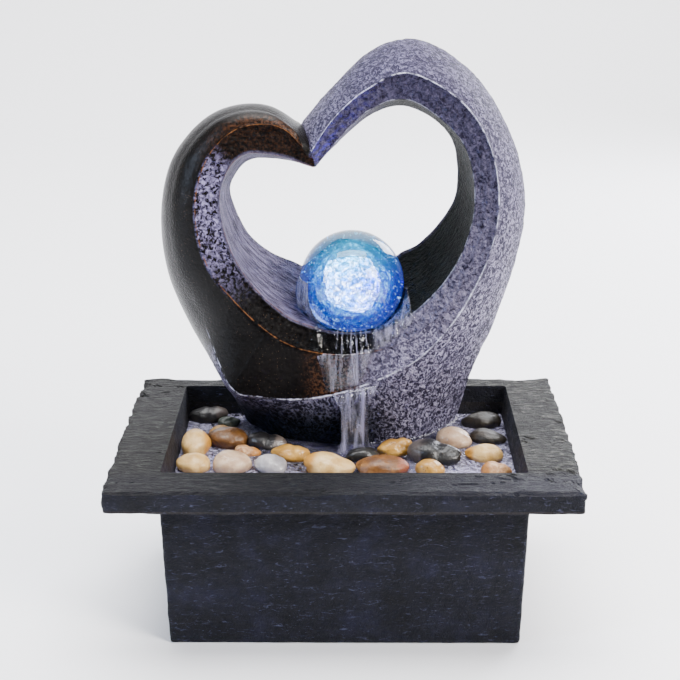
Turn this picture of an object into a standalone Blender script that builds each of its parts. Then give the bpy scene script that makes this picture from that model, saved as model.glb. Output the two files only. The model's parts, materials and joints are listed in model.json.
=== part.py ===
"""Tabletop water fountain: basin, deck of pebbles, heart-shaped sculpture, lit rolling ball, pump.

Sizes are in millimetres and are turned to metres when a mesh is made. The origin is the middle of the
footprint on the table, +Z is up and the front faces -Y.
"""
import bpy
import bmesh
from math import cos, sin, pi, radians, hypot
from mathutils import Vector

MM = 0.001
GAP = 0.3                # between pieces that touch

# Basin
RIM_WIDTH = 208.0
RIM_DEPTH = 144.0
RIM_THICKNESS = 9.0
BASIN_HEIGHT = 85.0
SIDE_FLANGE = 22.6       # rim width beside the opening
FRONT_FLANGE = 22.6
BACK_FLANGE = 11.4
RIM_CHAMFER = 1.5
BODY_WALL = 2.1          # wall between the opening and the body, under the rim
FRONT_WALL = 3.8
BODY_DRAFT = 0.030       # the body narrows by this much for each unit down
INNER_DRAFT = 0.13       # slope of the smooth inner wall above the ledge
FLOOR_THICKNESS = 5.0
LEDGE = 4.0              # step that carries the deck
FOOT_STANDOFF = 0.8      # body bottom above the table
FOOT_RADIUS = 7.0
FOOT_RECESS = 1.8
FOOT_INSET = 14.0
CUT = 1.0                # how far a cutter runs past the face it opens

# Deck
DECK_DROP = 17.5         # rim top to deck top
DECK_THICKNESS = 3.0
DECK_CLEARANCE = 0.5
DRAIN_RADIUS = 1.8
DRAIN_PITCH = 24.0
DRAIN_INSET = 10.0       # first row of drain holes, from the deck's front edge
DRAIN_ROWS = 2
SLOT_CLEARANCE = 2.5     # round the hose and the light's plug

# Heart sculpture, drawn at its full size on its own deck line
DRAWN_WIDTH = 174.0
DRAWN_HEIGHT = 194.0
HEART_WIDTH = 174.0
HEART_HEIGHT = 194.0
HEART_TO_WALL = 0.325    # its back face to the opening's back wall, at the deck
FOOT_HALF_WIDTH = 52.0
FOOT_REACH = 37.0        # foot, front to back
FOOT_CENTRE_X = 2.5
FOOT_WALL = 6.0
CAVITY_HEIGHT = 32.5
CAVITY_TAPER = 4.0       # the cavity is narrower by this at each side of its top

# Ball, cup and pool
BALL_DIAMETER = 50.0
BALL_X = 3.2
BALL_FORWARD = 25.0      # ball's centre in front of the sculpture's back face
BALL_SEAT = 55.9         # ball's lowest point above the deck
CUP_CLEARANCE = 1.0
POOL_HALF_WIDTH = 35.0
POOL_HALF_DEPTH = 17.5
POOL_DEPTH = 4.5
POOL_SETBACK = 3.0       # middle of the pool behind the ball's centre
POOL_LINE = 60.5         # still water above the deck

# Light under the ball
LIGHT_DIAMETER = 29.4
LIGHT_HEIGHT = 11.0
LIGHT_WALL = 1.8
LIGHT_FLOOR = 1.5
LIGHT_SHELF = 4.2        # ledge for the board, above the housing's underside
SHELF_WIDTH = 1.3
SLEEVE_CLEARANCE = 0.4   # nozzle in the middle sleeve
SLEEVE_WALL = 1.4
BOARD_THICKNESS = 1.0
LENS_THICKNESS = 1.4
LENS_TO_BALL = 2.0
LED_COUNT = 4
LED_RADIUS = 1.9
LED_HEIGHT = 3.5
LED_CIRCLE = 9.3

# Water way
HOSE_OUTER = 5.0
HOSE_BORE = 3.7
BARB_RADIUS = 3.4
WATER_BORE = 2.3
NOZZLE_RADIUS = 4.2
NOZZLE_PROUD = 0.4       # nozzle's tip above the lens
NOZZLE_DROP = 3.0        # its shoulder below the light
BARB_LENGTH = 12.0
STUB_RISE = 6.0          # outlet's shoulder above the volute
STUB_LENGTH = 11.0
STUB_WALL = 0.5          # outlet's shoulder outside the hose

# Pump
CUP_HEIGHT = 6.7
PUMP_WIDTH = 34.0
PUMP_HEIGHT = 46.0
MOTOR_LENGTH = 34.0
MOTOR_WALL = 2.5
MOTOR_CHAMFER = 2.0
MOTOR_TO_HOSE = 1.2      # motor's face beside the hose
END_CAP = 4.0            # thickness of the potting at the motor's end
SHAFT_ABOVE_BASE = 17.0
VOLUTE_RADIUS = 15.0
VOLUTE_WALL = 2.5
STRAINER_LENGTH = 26.0
STRAINER_WALL = 1.7
STRAINER_CHAMFER = 2.0
STRAINER_CLEARANCE = 0.6
NOTCH_CLEARANCE = 0.5    # round the outlet's shoulder
SLOT_COUNT = 4           # strainer's slots on each side
SLOT_WIDTH = 1.6
SLOT_PITCH = 3.4
SLOT_INSET = 3.0
SLOT_END = 6.0
INTAKE_COUNT = 4
INTAKE_RADIUS = 2.2
INTAKE_CIRCLE = 5.5
ROTOR_RADIUS = 6.0
ROTOR_LENGTH = 21.0
ROTOR_END_GAP = 1.5      # at each end of the magnet
WELL_CLEARANCE = 1.0
WELL_WALL = 1.7
IMPELLER_RADIUS = 10.5
PLATE_SETBACK = 1.4      # impeller's back plate in front of the motor's face
PLATE_THICKNESS = 1.8
BLADE_COUNT = 4
BLADE_HALF = 0.8         # half thickness
BLADE_LENGTH = 4.5
BLADE_ROOT = 2.2
HUB_RADIUS = 3.2
HUB_LENGTH = 5.0
NECK_RADIUS = 3.0
SHAFT_RADIUS = 1.0
SHAFT_REACH = 8.0        # shaft's front end before the outlet's axis
VOLUTE_REACH = 10.0
SOCKET_WALL = 1.2        # left in front of the shaft's end
RUNNING = 0.3
DIAL_RADIUS = 9.0
DIAL_THICKNESS = 2.6
DIAL_BEVEL = (0.8, 1.0)  # radius and thickness taken off its front edge
DIAL_PIN = 2.0
PIN_PROUD = 0.6
GRIP_HEIGHT = 2.4
GRIP_HALF = (1.1, 6.5)   # half width and half length
FLOW_COUNT = 3
FLOW_RADIUS = 1.8
FLOW_CIRCLE = 5.8

# Stator: laminated yoke over the rotor's well, with one coil on its bridge
STACK = (7.0, 23.0)      # behind the motor's face
LEG_WIDTH = 4.0
LEG_DROP = 7.0           # legs' ends below the shaft
YOKE_BELOW_TOP = (12.0, 8.0)
COIL_BUILD = 3.4
COIL_END_GAP = 0.6

# Suction cups: (radius, height above the floor) up to the stem's top
CUP_PROFILE = [(5.0, 0.0), (5.0, 0.6), (3.0, 2.2), (2.2, 3.4)]
CUP_STEM = 3.0
CUP_INSET = 6.0
CUP_SPREAD = 10.0

# Leads
LEAD_RADIUS = 1.6
LED_LEAD_RADIUS = 1.3
LED_LEAD_CLEARANCE = 1.9
SHOULDER_WALL = 0.5      # clear of the lead in the sculpture's bore
LEAD_BEND = 13.0         # radius of the pump lead's turn towards the gland
PLUG_SETBACK = 12.6      # plug's axis behind the motor's face
PLUG_RADIUS = 2.6
PLUG_NECK = 1.9
PLUG_PIN = 1.5
PLUG_LENGTH = 10.0
SOCKET_HALF = (5.0, 4.0)
SOCKET_HEIGHT = 5.0
SOCKET_FLOOR = 0.8
GLAND_TO_MOTOR = 15.6    # gland's axis beyond the motor's end
GLAND_BELOW_PUMP = 8.0   # and below the pump's top
GLAND_RADIUS = 4.7
GLAND_FLANGE = 8.0
GLAND_SHOULDERS = (2.0, 4.0)
GLAND_INSIDE = 4.5       # its thread inside the wall
NUT_RADIUS = 7.5
NUT_THICKNESS = 3.2

# Pebbles
PEBBLE_GAP = 0.5
PEBBLE_TO_FOOT = (6.0, 4.0)
DRAWN_OPENING = (79.1, 52.7, 5.6)   # half width, half depth and middle of the tray they were laid out in
SETTLE_ROUNDS = 600
# centre x and y, half length, half width, half height, turn in degrees, finish
PEBBLES = [
    (-68.3, 49.0, 9.7, 6.5, 4.6, 8, "slate_pebble"),
    (-56.5, 50.0, 5.6, 5.0, 4.0, 20, "moss_pebble"),
    (-60.0, 39.0, 5.6, 4.0, 3.2, 15, "amber_pebble"),
    (-71.0, 10.0, 6.8, 8.5, 6.6, 10, "cream_pebble"),
    (-57.5, 18.0, 10.0, 7.0, 5.4, -8, "brown_pebble"),
    (-46.5, 7.0, 6.4, 4.2, 3.2, -15, "tan_pebble"),
    (-70.5, -12.0, 7.8, 6.4, 5.2, 0, "cream_pebble"),
    (-53.0, -11.0, 9.4, 7.4, 5.4, 0, "blush_pebble"),
    (-35.5, -12.0, 8.4, 6.6, 5.2, -14, "white_pebble"),
    (-37.0, 20.0, 10.0, 6.0, 4.4, -8, "slate_pebble"),
    (-26.0, 2.0, 9.2, 5.6, 4.4, -12, "amber_pebble"),
    (-7.3, -15.0, 11.7, 7.4, 6.0, -12, "cream_pebble"),
    (9.0, 0.5, 8.0, 5.0, 4.0, 12, "black_pebble"),
    (19.0, -15.5, 11.9, 7.4, 5.4, 6, "russet_pebble"),
    (25.0, 7.0, 9.4, 5.6, 4.8, 16, "amber_pebble"),
    (43.0, 0.0, 13.0, 7.4, 5.8, -12, "black_pebble"),
    (39.5, -18.5, 7.2, 5.6, 5.0, -8, "amber_pebble"),
    (54.5, 19.5, 8.4, 7.0, 5.2, -20, "blush_pebble"),
    (68.0, 44.0, 9.6, 6.8, 4.6, 8, "bark_pebble"),
    (69.5, 23.0, 9.6, 5.6, 4.2, -18, "bark_pebble"),
    (64.0, 1.5, 9.2, 5.8, 4.4, -10, "cream_pebble"),
    (70.0, -20.0, 7.0, 5.0, 4.6, -8, "tan_pebble"),
]

# Outlines of the heart, clockwise from the notch, as (x, height above the deck line)
SILHOUETTE = [(-21, 154.5), (-5, 172.5), (13, 189), (35, 193.5), (60.5, 177.5), (79, 148.5), (86.5, 117.5),
              (83, 87.5), (73.5, 56.5), (63, 30.5), None, None, None, None, None, (-59.5, 27.5),
              (-75.5, 52.5), (-86, 82.5), (-87.5, 112.5), (-80.5, 138.5), (-62, 158), (-38.5, 162)]
PALE_RIDGE = [(-15, 147.5), (-5, 162), (10, 175), (29, 182.3), (53, 169.5), (66.5, 149), (71, 122.5),
              (66.5, 97.5), (54, 71.5), (38, 52), (27, 44.5), (12, 37.5), (-4, 32), (-22, 29.2),
              (-40, 30.3), (-54.5, 35.5), None, None, None, None, None, None]
COPPER_RIDGE = [None, None, None, None, None, None, None, None, (49.5, 76), (36, 63.5), (26, 57), (14, 53),
                (2, 51.5), (-10, 51.8), (-24, 55.2), (-37, 63), (-52, 77.5), (-64.5, 95.5), (-69, 120.5),
                (-63, 143.5), (-48.5, 157.5), (-29, 158)]
FRONT_LIP = [(-13.7, 138.5), (-5, 149), (11, 164.5), (28.7, 169.5), (47, 158), (57, 143.5), (60, 120.5),
             (54.5, 98.5), (44, 81.5), (31.5, 69.5), (21, 63), (11, 60.7), (2, 60.3), (-8, 61),
             (-19, 64.5), (-29, 69.5), (-43.5, 83.5), (-53.5, 100.5), (-58, 121.5), (-54, 137),
             (-45, 145), (-28, 143.5)]
BACK_LIP = [(-14.6, 131.5), (-7, 140.5), (12, 157), (28, 161.5), (44, 154), (52.5, 141.5), (53.5, 118.5),
            (45, 103.5), (35, 93.5), (26, 88.5), (18, 79.5), (10, 69.5), (3, 65.5), (-5, 68.5), (-14, 77.5),
            (-24, 84), (-37, 90), (-48, 100), (-55.5, 118.5), (-53, 129), (-44.5, 136), (-28, 135.5)]
FOOT_ANGLES = [12, 48, 90, 132, 168]
STEPS_BETWEEN = 4
RIDGE_LOW = 48.0         # how far the ridges stand in front of the back face, low down and at the top
RIDGE_HIGH = 38.0
RIDGE_SPAN = (37.5, 192.5)
SILHOUETTE_FORWARD = 10.0
BACK_LIP_FORWARD = 3.5
HEEL_FORWARD = 1.0
LIP_SETBACK = 5.5
HEEL_SETBACK = 3.0
BACK_SHARE = 0.45        # where the back face and the heel lie between the silhouette and the back lip
HEEL_SHARE = 0.15
BULGE_CENTRE = (3, 97.5)     # the glazed limb swells away from here
BULGE = 4.0
BULGE_SETBACK = 0.28

# Places that follow from the sizes
BODY_TOP = BASIN_HEIGHT - RIM_THICKNESS
FLOOR_TOP = FOOT_STANDOFF + FLOOR_THICKNESS
DECK_TOP = BASIN_HEIGHT - DECK_DROP
DECK_BOTTOM = DECK_TOP - DECK_THICKNESS
LEDGE_TOP = DECK_BOTTOM - GAP
OPENING_Y = (FRONT_FLANGE - BACK_FLANGE) / 2
OPENING_HALF_X = RIM_WIDTH / 2 - SIDE_FLANGE
OPENING_HALF_Y = (RIM_DEPTH - FRONT_FLANGE - BACK_FLANGE) / 2
HEART_BACK = OPENING_Y + OPENING_HALF_Y - DECK_DROP * INNER_DRAFT - HEART_TO_WALL
BALL_Y = HEART_BACK - BALL_FORWARD
HEART_BASE = DECK_TOP + GAP
BALL_RADIUS = BALL_DIAMETER / 2
BALL_BOTTOM = DECK_TOP + BALL_SEAT
BALL_Z = BALL_BOTTOM + BALL_RADIUS
CUP_RADIUS = BALL_RADIUS + CUP_CLEARANCE
LENS_TOP = BALL_BOTTOM - LENS_TO_BALL
LIGHT_TOP = LENS_TOP - LENS_THICKNESS - GAP
LIGHT_BOTTOM = LIGHT_TOP - LIGHT_HEIGHT
CAVITY_TOP = HEART_BASE + CAVITY_HEIGHT
LIGHT_RADIUS = LIGHT_DIAMETER / 2
PUMP_BASE = FLOOR_TOP + CUP_HEIGHT
SHAFT_Z = PUMP_BASE + SHAFT_ABOVE_BASE
PUMP_TOP = PUMP_BASE + PUMP_HEIGHT
MOTOR_FACE = BALL_X + HOSE_OUTER + MOTOR_TO_HOSE
MOTOR_END = MOTOR_FACE + MOTOR_LENGTH
STUB_SHOULDER = SHAFT_Z + VOLUTE_RADIUS + STUB_RISE
STUB_TOP = STUB_SHOULDER + STUB_LENGTH
LED_LEAD_OFFSET = HOSE_OUTER + LED_LEAD_RADIUS + LED_LEAD_CLEARANCE
LED_PLUG_X = MOTOR_FACE + PLUG_SETBACK
GLAND_X = MOTOR_END + GLAND_TO_MOTOR
SHOULDER_RADIUS = LED_LEAD_OFFSET + LED_LEAD_RADIUS + SHOULDER_WALL
NOZZLE_STEP = LIGHT_BOTTOM - NOZZLE_DROP
NOZZLE_BOTTOM = NOZZLE_STEP - BARB_LENGTH


# ---------------------------------------------------------------- making meshes

def clear_scene():
    for obj in list(bpy.data.objects):
        bpy.data.objects.remove(obj, do_unlink=True)


def make_material(name, colour, roughness, metallic=0.0, alpha=1.0):
    """A Principled material; colour is an sRGB hex value."""
    mat = bpy.data.materials.new(name)
    mat.use_nodes = True
    channels = [int(colour[i:i + 2], 16) / 255 for i in (0, 2, 4)]
    linear = [c / 12.92 if c <= 0.04045 else ((c + 0.055) / 1.055) ** 2.4 for c in channels]
    shader = mat.node_tree.nodes["Principled BSDF"]
    shader.inputs["Base Color"].default_value = (*linear, 1.0)
    shader.inputs["Roughness"].default_value = roughness
    shader.inputs["Metallic"].default_value = metallic
    shader.inputs["Alpha"].default_value = alpha
    mat.diffuse_color = (*linear, alpha)
    return mat


def add_object(name, bm, mat, origin=(0, 0, 0), smooth=True):
    """Turn a mesh drawn in world millimetres into an object whose origin is at the given point."""
    centre = Vector(origin)
    bmesh.ops.recalc_face_normals(bm, faces=bm.faces)
    for vert in bm.verts:
        vert.co = (vert.co - centre) * MM
    mesh = bpy.data.meshes.new(name)
    bm.to_mesh(mesh)
    bm.free()
    if smooth:
        mesh.shade_smooth()
        mesh.set_sharp_from_angle(angle=radians(35))
    obj = bpy.data.objects.new(name, mesh)
    obj.location = centre * MM
    if mat is not None:
        mesh.materials.append(mat)
    bpy.context.scene.collection.objects.link(obj)
    return obj


def boolean(target, bm, name, operation="DIFFERENCE"):
    """Cut or join a mesh to the target with a hidden helper object."""
    helper = add_object(name, bm, None, smooth=False)
    helper.hide_render = True
    helper.display_type = "WIRE"
    modifier = target.modifiers.new(name, "BOOLEAN")
    modifier.operation = operation
    modifier.solver = "EXACT"
    modifier.object = helper


def skin(bm, rings, loop=False):
    """Join rings of equal count with faces, and close the ends unless the rings form a loop."""
    rows = [[bm.verts.new(p) for p in ring] for ring in rings]
    pairs = list(zip(rows, rows[1:])) + ([(rows[-1], rows[0])] if loop else [])
    count = len(rows[0])
    for low, high in pairs:
        for i in range(count):
            j = (i + 1) % count
            bm.faces.new((low[i], low[j], high[j], high[i]))
    if not loop:
        bm.faces.new(rows[0][::-1])
        bm.faces.new(rows[-1])


def box(bm, x, y, z):
    """Box between the pairs x, y and z."""
    skin(bm, [[Vector((a, b, c)) for a, b in ((x[0], y[0]), (x[1], y[0]), (x[1], y[1]), (x[0], y[1]))]
              for c in z])


def chamfered_box(bm, x, y, z, chamfer):
    """Box whose four long edges along X are cut back."""
    outline = []
    for b, c, sb, sc in ((y[0], z[0], 1, 1), (y[1], z[0], -1, 1), (y[1], z[1], -1, -1), (y[0], z[1], 1, -1)):
        first, second = (b, c + sc * chamfer), (b + sb * chamfer, c)
        outline += [first, second] if sb == sc else [second, first]
    skin(bm, [[Vector((a, b, c)) for b, c in outline] for a in x])


def circle(centre, radius, axis, steps, phase=0.0):
    """Points of a circle about an axis through the centre."""
    points = []
    for i in range(steps):
        angle = 2 * pi * (i + phase) / steps
        a, b = radius * cos(angle), radius * sin(angle)
        offset = {"X": (0, a, b), "Y": (b, 0, a), "Z": (a, b, 0)}[axis]
        points.append(Vector(centre) + Vector(offset))
    return points


def turned(bm, centre, profile, axis="Z", steps=24, hollow=False):
    """Turn (radius, distance along the axis) points; a hollow profile is a closed loop clear of the axis."""
    direction = Vector({"X": (1, 0, 0), "Y": (0, 1, 0), "Z": (0, 0, 1)}[axis])
    rings = [circle(Vector(centre) + direction * d, r, axis, steps) for r, d in profile]
    skin(bm, rings, loop=hollow)


def rod(bm, centre, radius, low, high, axis="Z", steps=24):
    turned(bm, centre, [(radius, low), (radius, high)], axis, steps)


def tube(bm, centre, outer, inner, low, high, axis="Z", steps=24):
    turned(bm, centre, [(outer, low), (outer, high), (inner, high), (inner, low)], axis, steps, hollow=True)


def smooth_line(points, steps, closed=False):
    """Points of a Catmull-Rom curve through the given points, which keeps a corner at its two ends."""
    padded = [points[0] * 2 - points[1], *points, points[-1] * 2 - points[-2]]
    line = []
    for p0, p1, p2, p3 in zip(padded, padded[1:], padded[2:], padded[3:]):
        for s in range(steps):
            t = s / steps
            line.append(0.5 * (p1 * 2 + (p2 - p0) * t + (p0 * 2 - p1 * 5 + p2 * 4 - p3) * t ** 2
                               + (p1 * 3 - p0 - p2 * 3 + p3) * t ** 3))
    return line if closed else line + [points[-1]]


# ---------------------------------------------------------------- basin and deck

def inner_half(z):
    """Half width and half depth of the opening at height z."""
    inset = (BASIN_HEIGHT - z) * INNER_DRAFT
    return OPENING_HALF_X - inset, OPENING_HALF_Y - inset


def body_sides(z):
    """Half width, front and back of the body's outside at height z."""
    half_x, half_y = inner_half(BODY_TOP)
    taper = (BODY_TOP - z) * BODY_DRAFT
    return (half_x + BODY_WALL - taper, OPENING_Y - half_y - FRONT_WALL + taper,
            OPENING_Y + half_y + FRONT_WALL - taper)


def rectangle(half_x, front, back, z):
    return [Vector((-half_x, front, z)), Vector((half_x, front, z)),
            Vector((half_x, back, z)), Vector((-half_x, back, z))]


def opening_ring(z):
    half_x, half_y = inner_half(z)
    return rectangle(half_x, OPENING_Y - half_y, OPENING_Y + half_y, z)


def reservoir_sides():
    """Half width, front and back of the straight-walled reservoir under the ledge."""
    half_x, half_y = inner_half(LEDGE_TOP)
    return half_x - LEDGE, OPENING_Y - half_y + LEDGE, OPENING_Y + half_y - LEDGE


def make_basin(mat):
    half_x, half_y = RIM_WIDTH / 2, RIM_DEPTH / 2
    rings = [rectangle(*body_sides(FOOT_STANDOFF), FOOT_STANDOFF),
             rectangle(*body_sides(BODY_TOP), BODY_TOP),
             rectangle(half_x, -half_y, half_y, BODY_TOP),
             rectangle(half_x, -half_y, half_y, BASIN_HEIGHT - RIM_CHAMFER),
             rectangle(half_x - RIM_CHAMFER, RIM_CHAMFER - half_y, half_y - RIM_CHAMFER, BASIN_HEIGHT),
             opening_ring(BASIN_HEIGHT),
             opening_ring(LEDGE_TOP),
             rectangle(*reservoir_sides(), LEDGE_TOP),
             rectangle(*reservoir_sides(), FLOOR_TOP)]
    bm = bmesh.new()
    skin(bm, rings)
    basin = add_object("basin", bm, mat, smooth=False)
    recess_top = FOOT_STANDOFF + FOOT_RECESS
    for i, (x, y) in enumerate(foot_places(), 1):
        bm = bmesh.new()
        rod(bm, (x, y, 0), FOOT_RADIUS + GAP, FOOT_STANDOFF - CUT, recess_top, steps=20)
        boolean(basin, bm, f"foot_recess_{i}")
    bm = bmesh.new()
    _, _, outside = body_sides(gland_height())
    _, _, inside = reservoir_sides()
    rod(bm, (GLAND_X, 0, gland_height()), GLAND_RADIUS + GAP, inside - CUT, outside + CUT, "Y", 20)
    boolean(basin, bm, "gland_hole")


def foot_places():
    half_x, front, back = body_sides(FOOT_STANDOFF)
    rows = (front + FOOT_INSET, back - FOOT_INSET)
    return [(side * (half_x - FOOT_INSET), y) for y in rows for side in (-1, 1)]


def gland_height():
    return PUMP_TOP - GLAND_BELOW_PUMP


def make_feet(mat):
    top, bevel = FOOT_STANDOFF + FOOT_RECESS - GAP, 0.6
    for i, (x, y) in enumerate(foot_places(), 1):
        bm = bmesh.new()
        turned(bm, (x, y, 0), [(FOOT_RADIUS - bevel, 0), (FOOT_RADIUS, bevel), (FOOT_RADIUS, top)], steps=20)
        add_object(f"rubber_foot_{i}", bm, mat, (x, y, 0))


def deck_slot():
    """The X range and half depth of the slot that the hose and the light's plug pass through."""
    half = HOSE_OUTER + SLOT_CLEARANCE
    return (BALL_X - half, LED_PLUG_X + PLUG_RADIUS + SLOT_CLEARANCE), half


def make_deck(mat):
    half_x, half_y = inner_half(DECK_BOTTOM)
    half_x, half_y = half_x - DECK_CLEARANCE, half_y - DECK_CLEARANCE
    bm = bmesh.new()
    skin(bm, [rectangle(half_x, OPENING_Y - half_y, OPENING_Y + half_y, z) for z in (DECK_BOTTOM, DECK_TOP)])
    deck = add_object("deck", bm, mat, smooth=False)
    (low, high), half = deck_slot()
    bm = bmesh.new()
    box(bm, (low, high), (BALL_Y - half, BALL_Y + half), (DECK_BOTTOM - CUT, DECK_TOP + CUT))
    boolean(deck, bm, "hose_slot")
    columns = int((half_x - DRAIN_INSET / 2) // DRAIN_PITCH)
    for row in range(DRAIN_ROWS):
        for column in range(-columns, columns + 1):
            place = (column * DRAIN_PITCH, OPENING_Y - half_y + DRAIN_INSET + row * DRAIN_PITCH, 0)
            bm = bmesh.new()
            rod(bm, place, DRAIN_RADIUS, DECK_BOTTOM - CUT, DECK_TOP + CUT, steps=8)
            boolean(deck, bm, f"drain_{row}_{column + columns}")


# ---------------------------------------------------------------- heart sculpture

def ridge_y(z):
    """Where the front ridges stand at a height above the deck."""
    share = min(max((z - RIDGE_SPAN[0]) / (RIDGE_SPAN[1] - RIDGE_SPAN[0]), 0.0), 1.0)
    return HEART_BACK - RIDGE_LOW + (RIDGE_LOW - RIDGE_HIGH) * share


def heart_stations():
    """Cross-sections round the heart, each from the silhouette over the front to the back and round."""
    sections = []
    foot = iter(FOOT_ANGLES)
    for a, w, e, c, d in zip(SILHOUETTE, PALE_RIDGE, COPPER_RIDGE, FRONT_LIP, BACK_LIP):
        lip = Vector((c[0], ridge_y(c[1]) + LIP_SETBACK, c[1]))
        back_lip = Vector((d[0], HEART_BACK - BACK_LIP_FORWARD, d[1]))
        if a is None:
            angle = radians(next(foot))
            outer = Vector((FOOT_CENTRE_X + FOOT_HALF_WIDTH * cos(angle),
                            HEART_BACK - HEEL_FORWARD - FOOT_REACH * sin(angle), 0))
            back = Vector(((outer.x + back_lip.x) / 2, HEART_BACK, back_lip.z / 2))
            heel = Vector((outer.x, HEART_BACK - HEEL_FORWARD, 0))
        else:
            outer = Vector((a[0], HEART_BACK - SILHOUETTE_FORWARD, a[1]))
            back = outer.lerp(back_lip, BACK_SHARE)
            back.y = HEART_BACK
            heel = outer.lerp(back_lip, HEEL_SHARE)
            heel.y = HEART_BACK - HEEL_SETBACK
        if w is None:
            copper = Vector((e[0], ridge_y(e[1]), e[1]))
            pale = outer.lerp(copper, 0.5)
            outward = Vector((pale.x - BULGE_CENTRE[0], 0, pale.z - BULGE_CENTRE[1]))
            pale += outward.normalized() * BULGE
            pale.y = copper.y + (outer.y - copper.y) * BULGE_SETBACK
        else:
            pale = Vector((w[0], ridge_y(w[1]), w[1]))
            copper = Vector((e[0], ridge_y(e[1]), e[1])) if e else pale.lerp(lip, 0.5)
        sections.append([outer, pale, copper, lip, back_lip, back, heel])
    return sections


def make_heart(mat):
    sections = heart_stations()
    stretch_x, stretch_z = HEART_WIDTH / DRAWN_WIDTH, HEART_HEIGHT / DRAWN_HEIGHT
    lines = [smooth_line([s[k] for s in sections + sections[:1]], STEPS_BETWEEN, closed=True)
             for k in range(len(sections[0]))]
    rings = []
    for ring in zip(*lines):
        rings.append([Vector((p.x * stretch_x, p.y, HEART_BASE + max(p.z, 0) * stretch_z)) for p in ring])
    bm = bmesh.new()
    skin(bm, rings, loop=True)
    bmesh.ops.remove_doubles(bm, verts=bm.verts, dist=0.02)
    bmesh.ops.triangulate(bm, faces=bm.faces)
    heart = add_object("heart_sculpture", bm, mat, (BALL_X, BALL_Y, HEART_BASE))
    hollow_foot(heart, stretch_x)
    bm = bmesh.new()
    rod(bm, (BALL_X, BALL_Y, 0), SHOULDER_RADIUS, HEART_BASE - CUT, LIGHT_BOTTOM + CUT, steps=24)
    boolean(heart, bm, "shoulder_bore")
    bm = bmesh.new()
    rod(bm, (BALL_X, BALL_Y, 0), LIGHT_RADIUS + GAP, LIGHT_BOTTOM - GAP, BALL_Z, steps=32)
    boolean(heart, bm, "light_bore")
    bm = bmesh.new()
    bmesh.ops.create_uvsphere(bm, u_segments=32, v_segments=18, radius=CUP_RADIUS)
    bmesh.ops.translate(bm, verts=bm.verts, vec=(BALL_X, BALL_Y, BALL_Z))
    boolean(heart, bm, "cup")
    bm = bmesh.new()
    bmesh.ops.create_uvsphere(bm, u_segments=32, v_segments=14, radius=1.0)
    pool_z = DECK_TOP + POOL_LINE
    for vert in bm.verts:
        x, y, z = vert.co
        vert.co = Vector((BALL_X + x * POOL_HALF_WIDTH, BALL_Y + POOL_SETBACK + y * POOL_HALF_DEPTH,
                          pool_z + z * POOL_DEPTH))
    boolean(heart, bm, "pool")


def hollow_foot(heart, stretch_x):
    """Cut the half-round cavity up into the foot, narrower towards its top."""
    rings = []
    for z, shrink in ((HEART_BASE - CUT, 0), (CAVITY_TOP, CAVITY_TAPER)):
        half_width = FOOT_HALF_WIDTH * stretch_x - FOOT_WALL - shrink
        depth = FOOT_REACH - 2 * FOOT_WALL
        arc = [radians(a) for a in range(0, 181, 15)]
        rings.append([Vector((FOOT_CENTRE_X * stretch_x + half_width * cos(a),
                              HEART_BACK - FOOT_WALL - depth * sin(a), z)) for a in arc])
    bm = bmesh.new()
    skin(bm, rings)
    boolean(heart, bm, "cavity")


# ---------------------------------------------------------------- ball and light

def make_ball(mat):
    bm = bmesh.new()
    bmesh.ops.create_uvsphere(bm, u_segments=28, v_segments=16, radius=BALL_RADIUS)
    centre = (BALL_X, BALL_Y, BALL_Z)
    bmesh.ops.translate(bm, verts=bm.verts, vec=centre)
    add_object("crystal_ball", bm, mat, centre)


def make_light(mats):
    axis = (BALL_X, BALL_Y, 0)
    outer, inner = LIGHT_RADIUS, NOZZLE_RADIUS + SLEEVE_CLEARANCE
    wall_in, sleeve = outer - LIGHT_WALL, inner + SLEEVE_WALL
    step = wall_in - SHELF_WIDTH
    z0, z1 = LIGHT_BOTTOM, LIGHT_TOP
    floor, shelf = z0 + LIGHT_FLOOR, z0 + LIGHT_SHELF
    bm = bmesh.new()
    turned(bm, axis, [(outer, z0), (outer, z1), (wall_in, z1), (wall_in, shelf), (step, shelf), (step, floor),
                      (sleeve, floor), (sleeve, z1), (inner, z1), (inner, z0)], hollow=True)
    housing = add_object("led_housing", bm, mats["black_plastic"], axis)
    bm = bmesh.new()
    rod(bm, led_lead_top(), LED_LEAD_RADIUS + GAP, -CUT, LIGHT_FLOOR + CUT, steps=12)
    boolean(housing, bm, "lead_hole")
    board_z = shelf + GAP
    board_top = board_z + BOARD_THICKNESS
    bm = bmesh.new()
    tube(bm, axis, wall_in - GAP, sleeve + GAP, board_z, board_top)
    add_object("led_board", bm, mats["circuit_board"], axis)
    for i in range(LED_COUNT):
        angle = 2 * pi * (i + 0.5) / LED_COUNT
        place = (BALL_X + LED_CIRCLE * cos(angle), BALL_Y + LED_CIRCLE * sin(angle), board_top + GAP)
        bm = bmesh.new()
        dome = [(1, 0), (1, 0.51), (0.8, 0.86), (0.35, 1)]
        turned(bm, place, [(LED_RADIUS * r, LED_HEIGHT * h) for r, h in dome], steps=12)
        add_object(f"led_{i + 1}", bm, mats["led_epoxy"], place)
    bm = bmesh.new()
    tube(bm, axis, outer, inner, LIGHT_TOP + GAP, LENS_TOP)
    add_object("led_lens", bm, mats["clear_lens"], axis)


def led_lead_top():
    """Where the light's lead enters the housing's floor."""
    return Vector((BALL_X + LED_LEAD_OFFSET, BALL_Y, LIGHT_BOTTOM))


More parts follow.
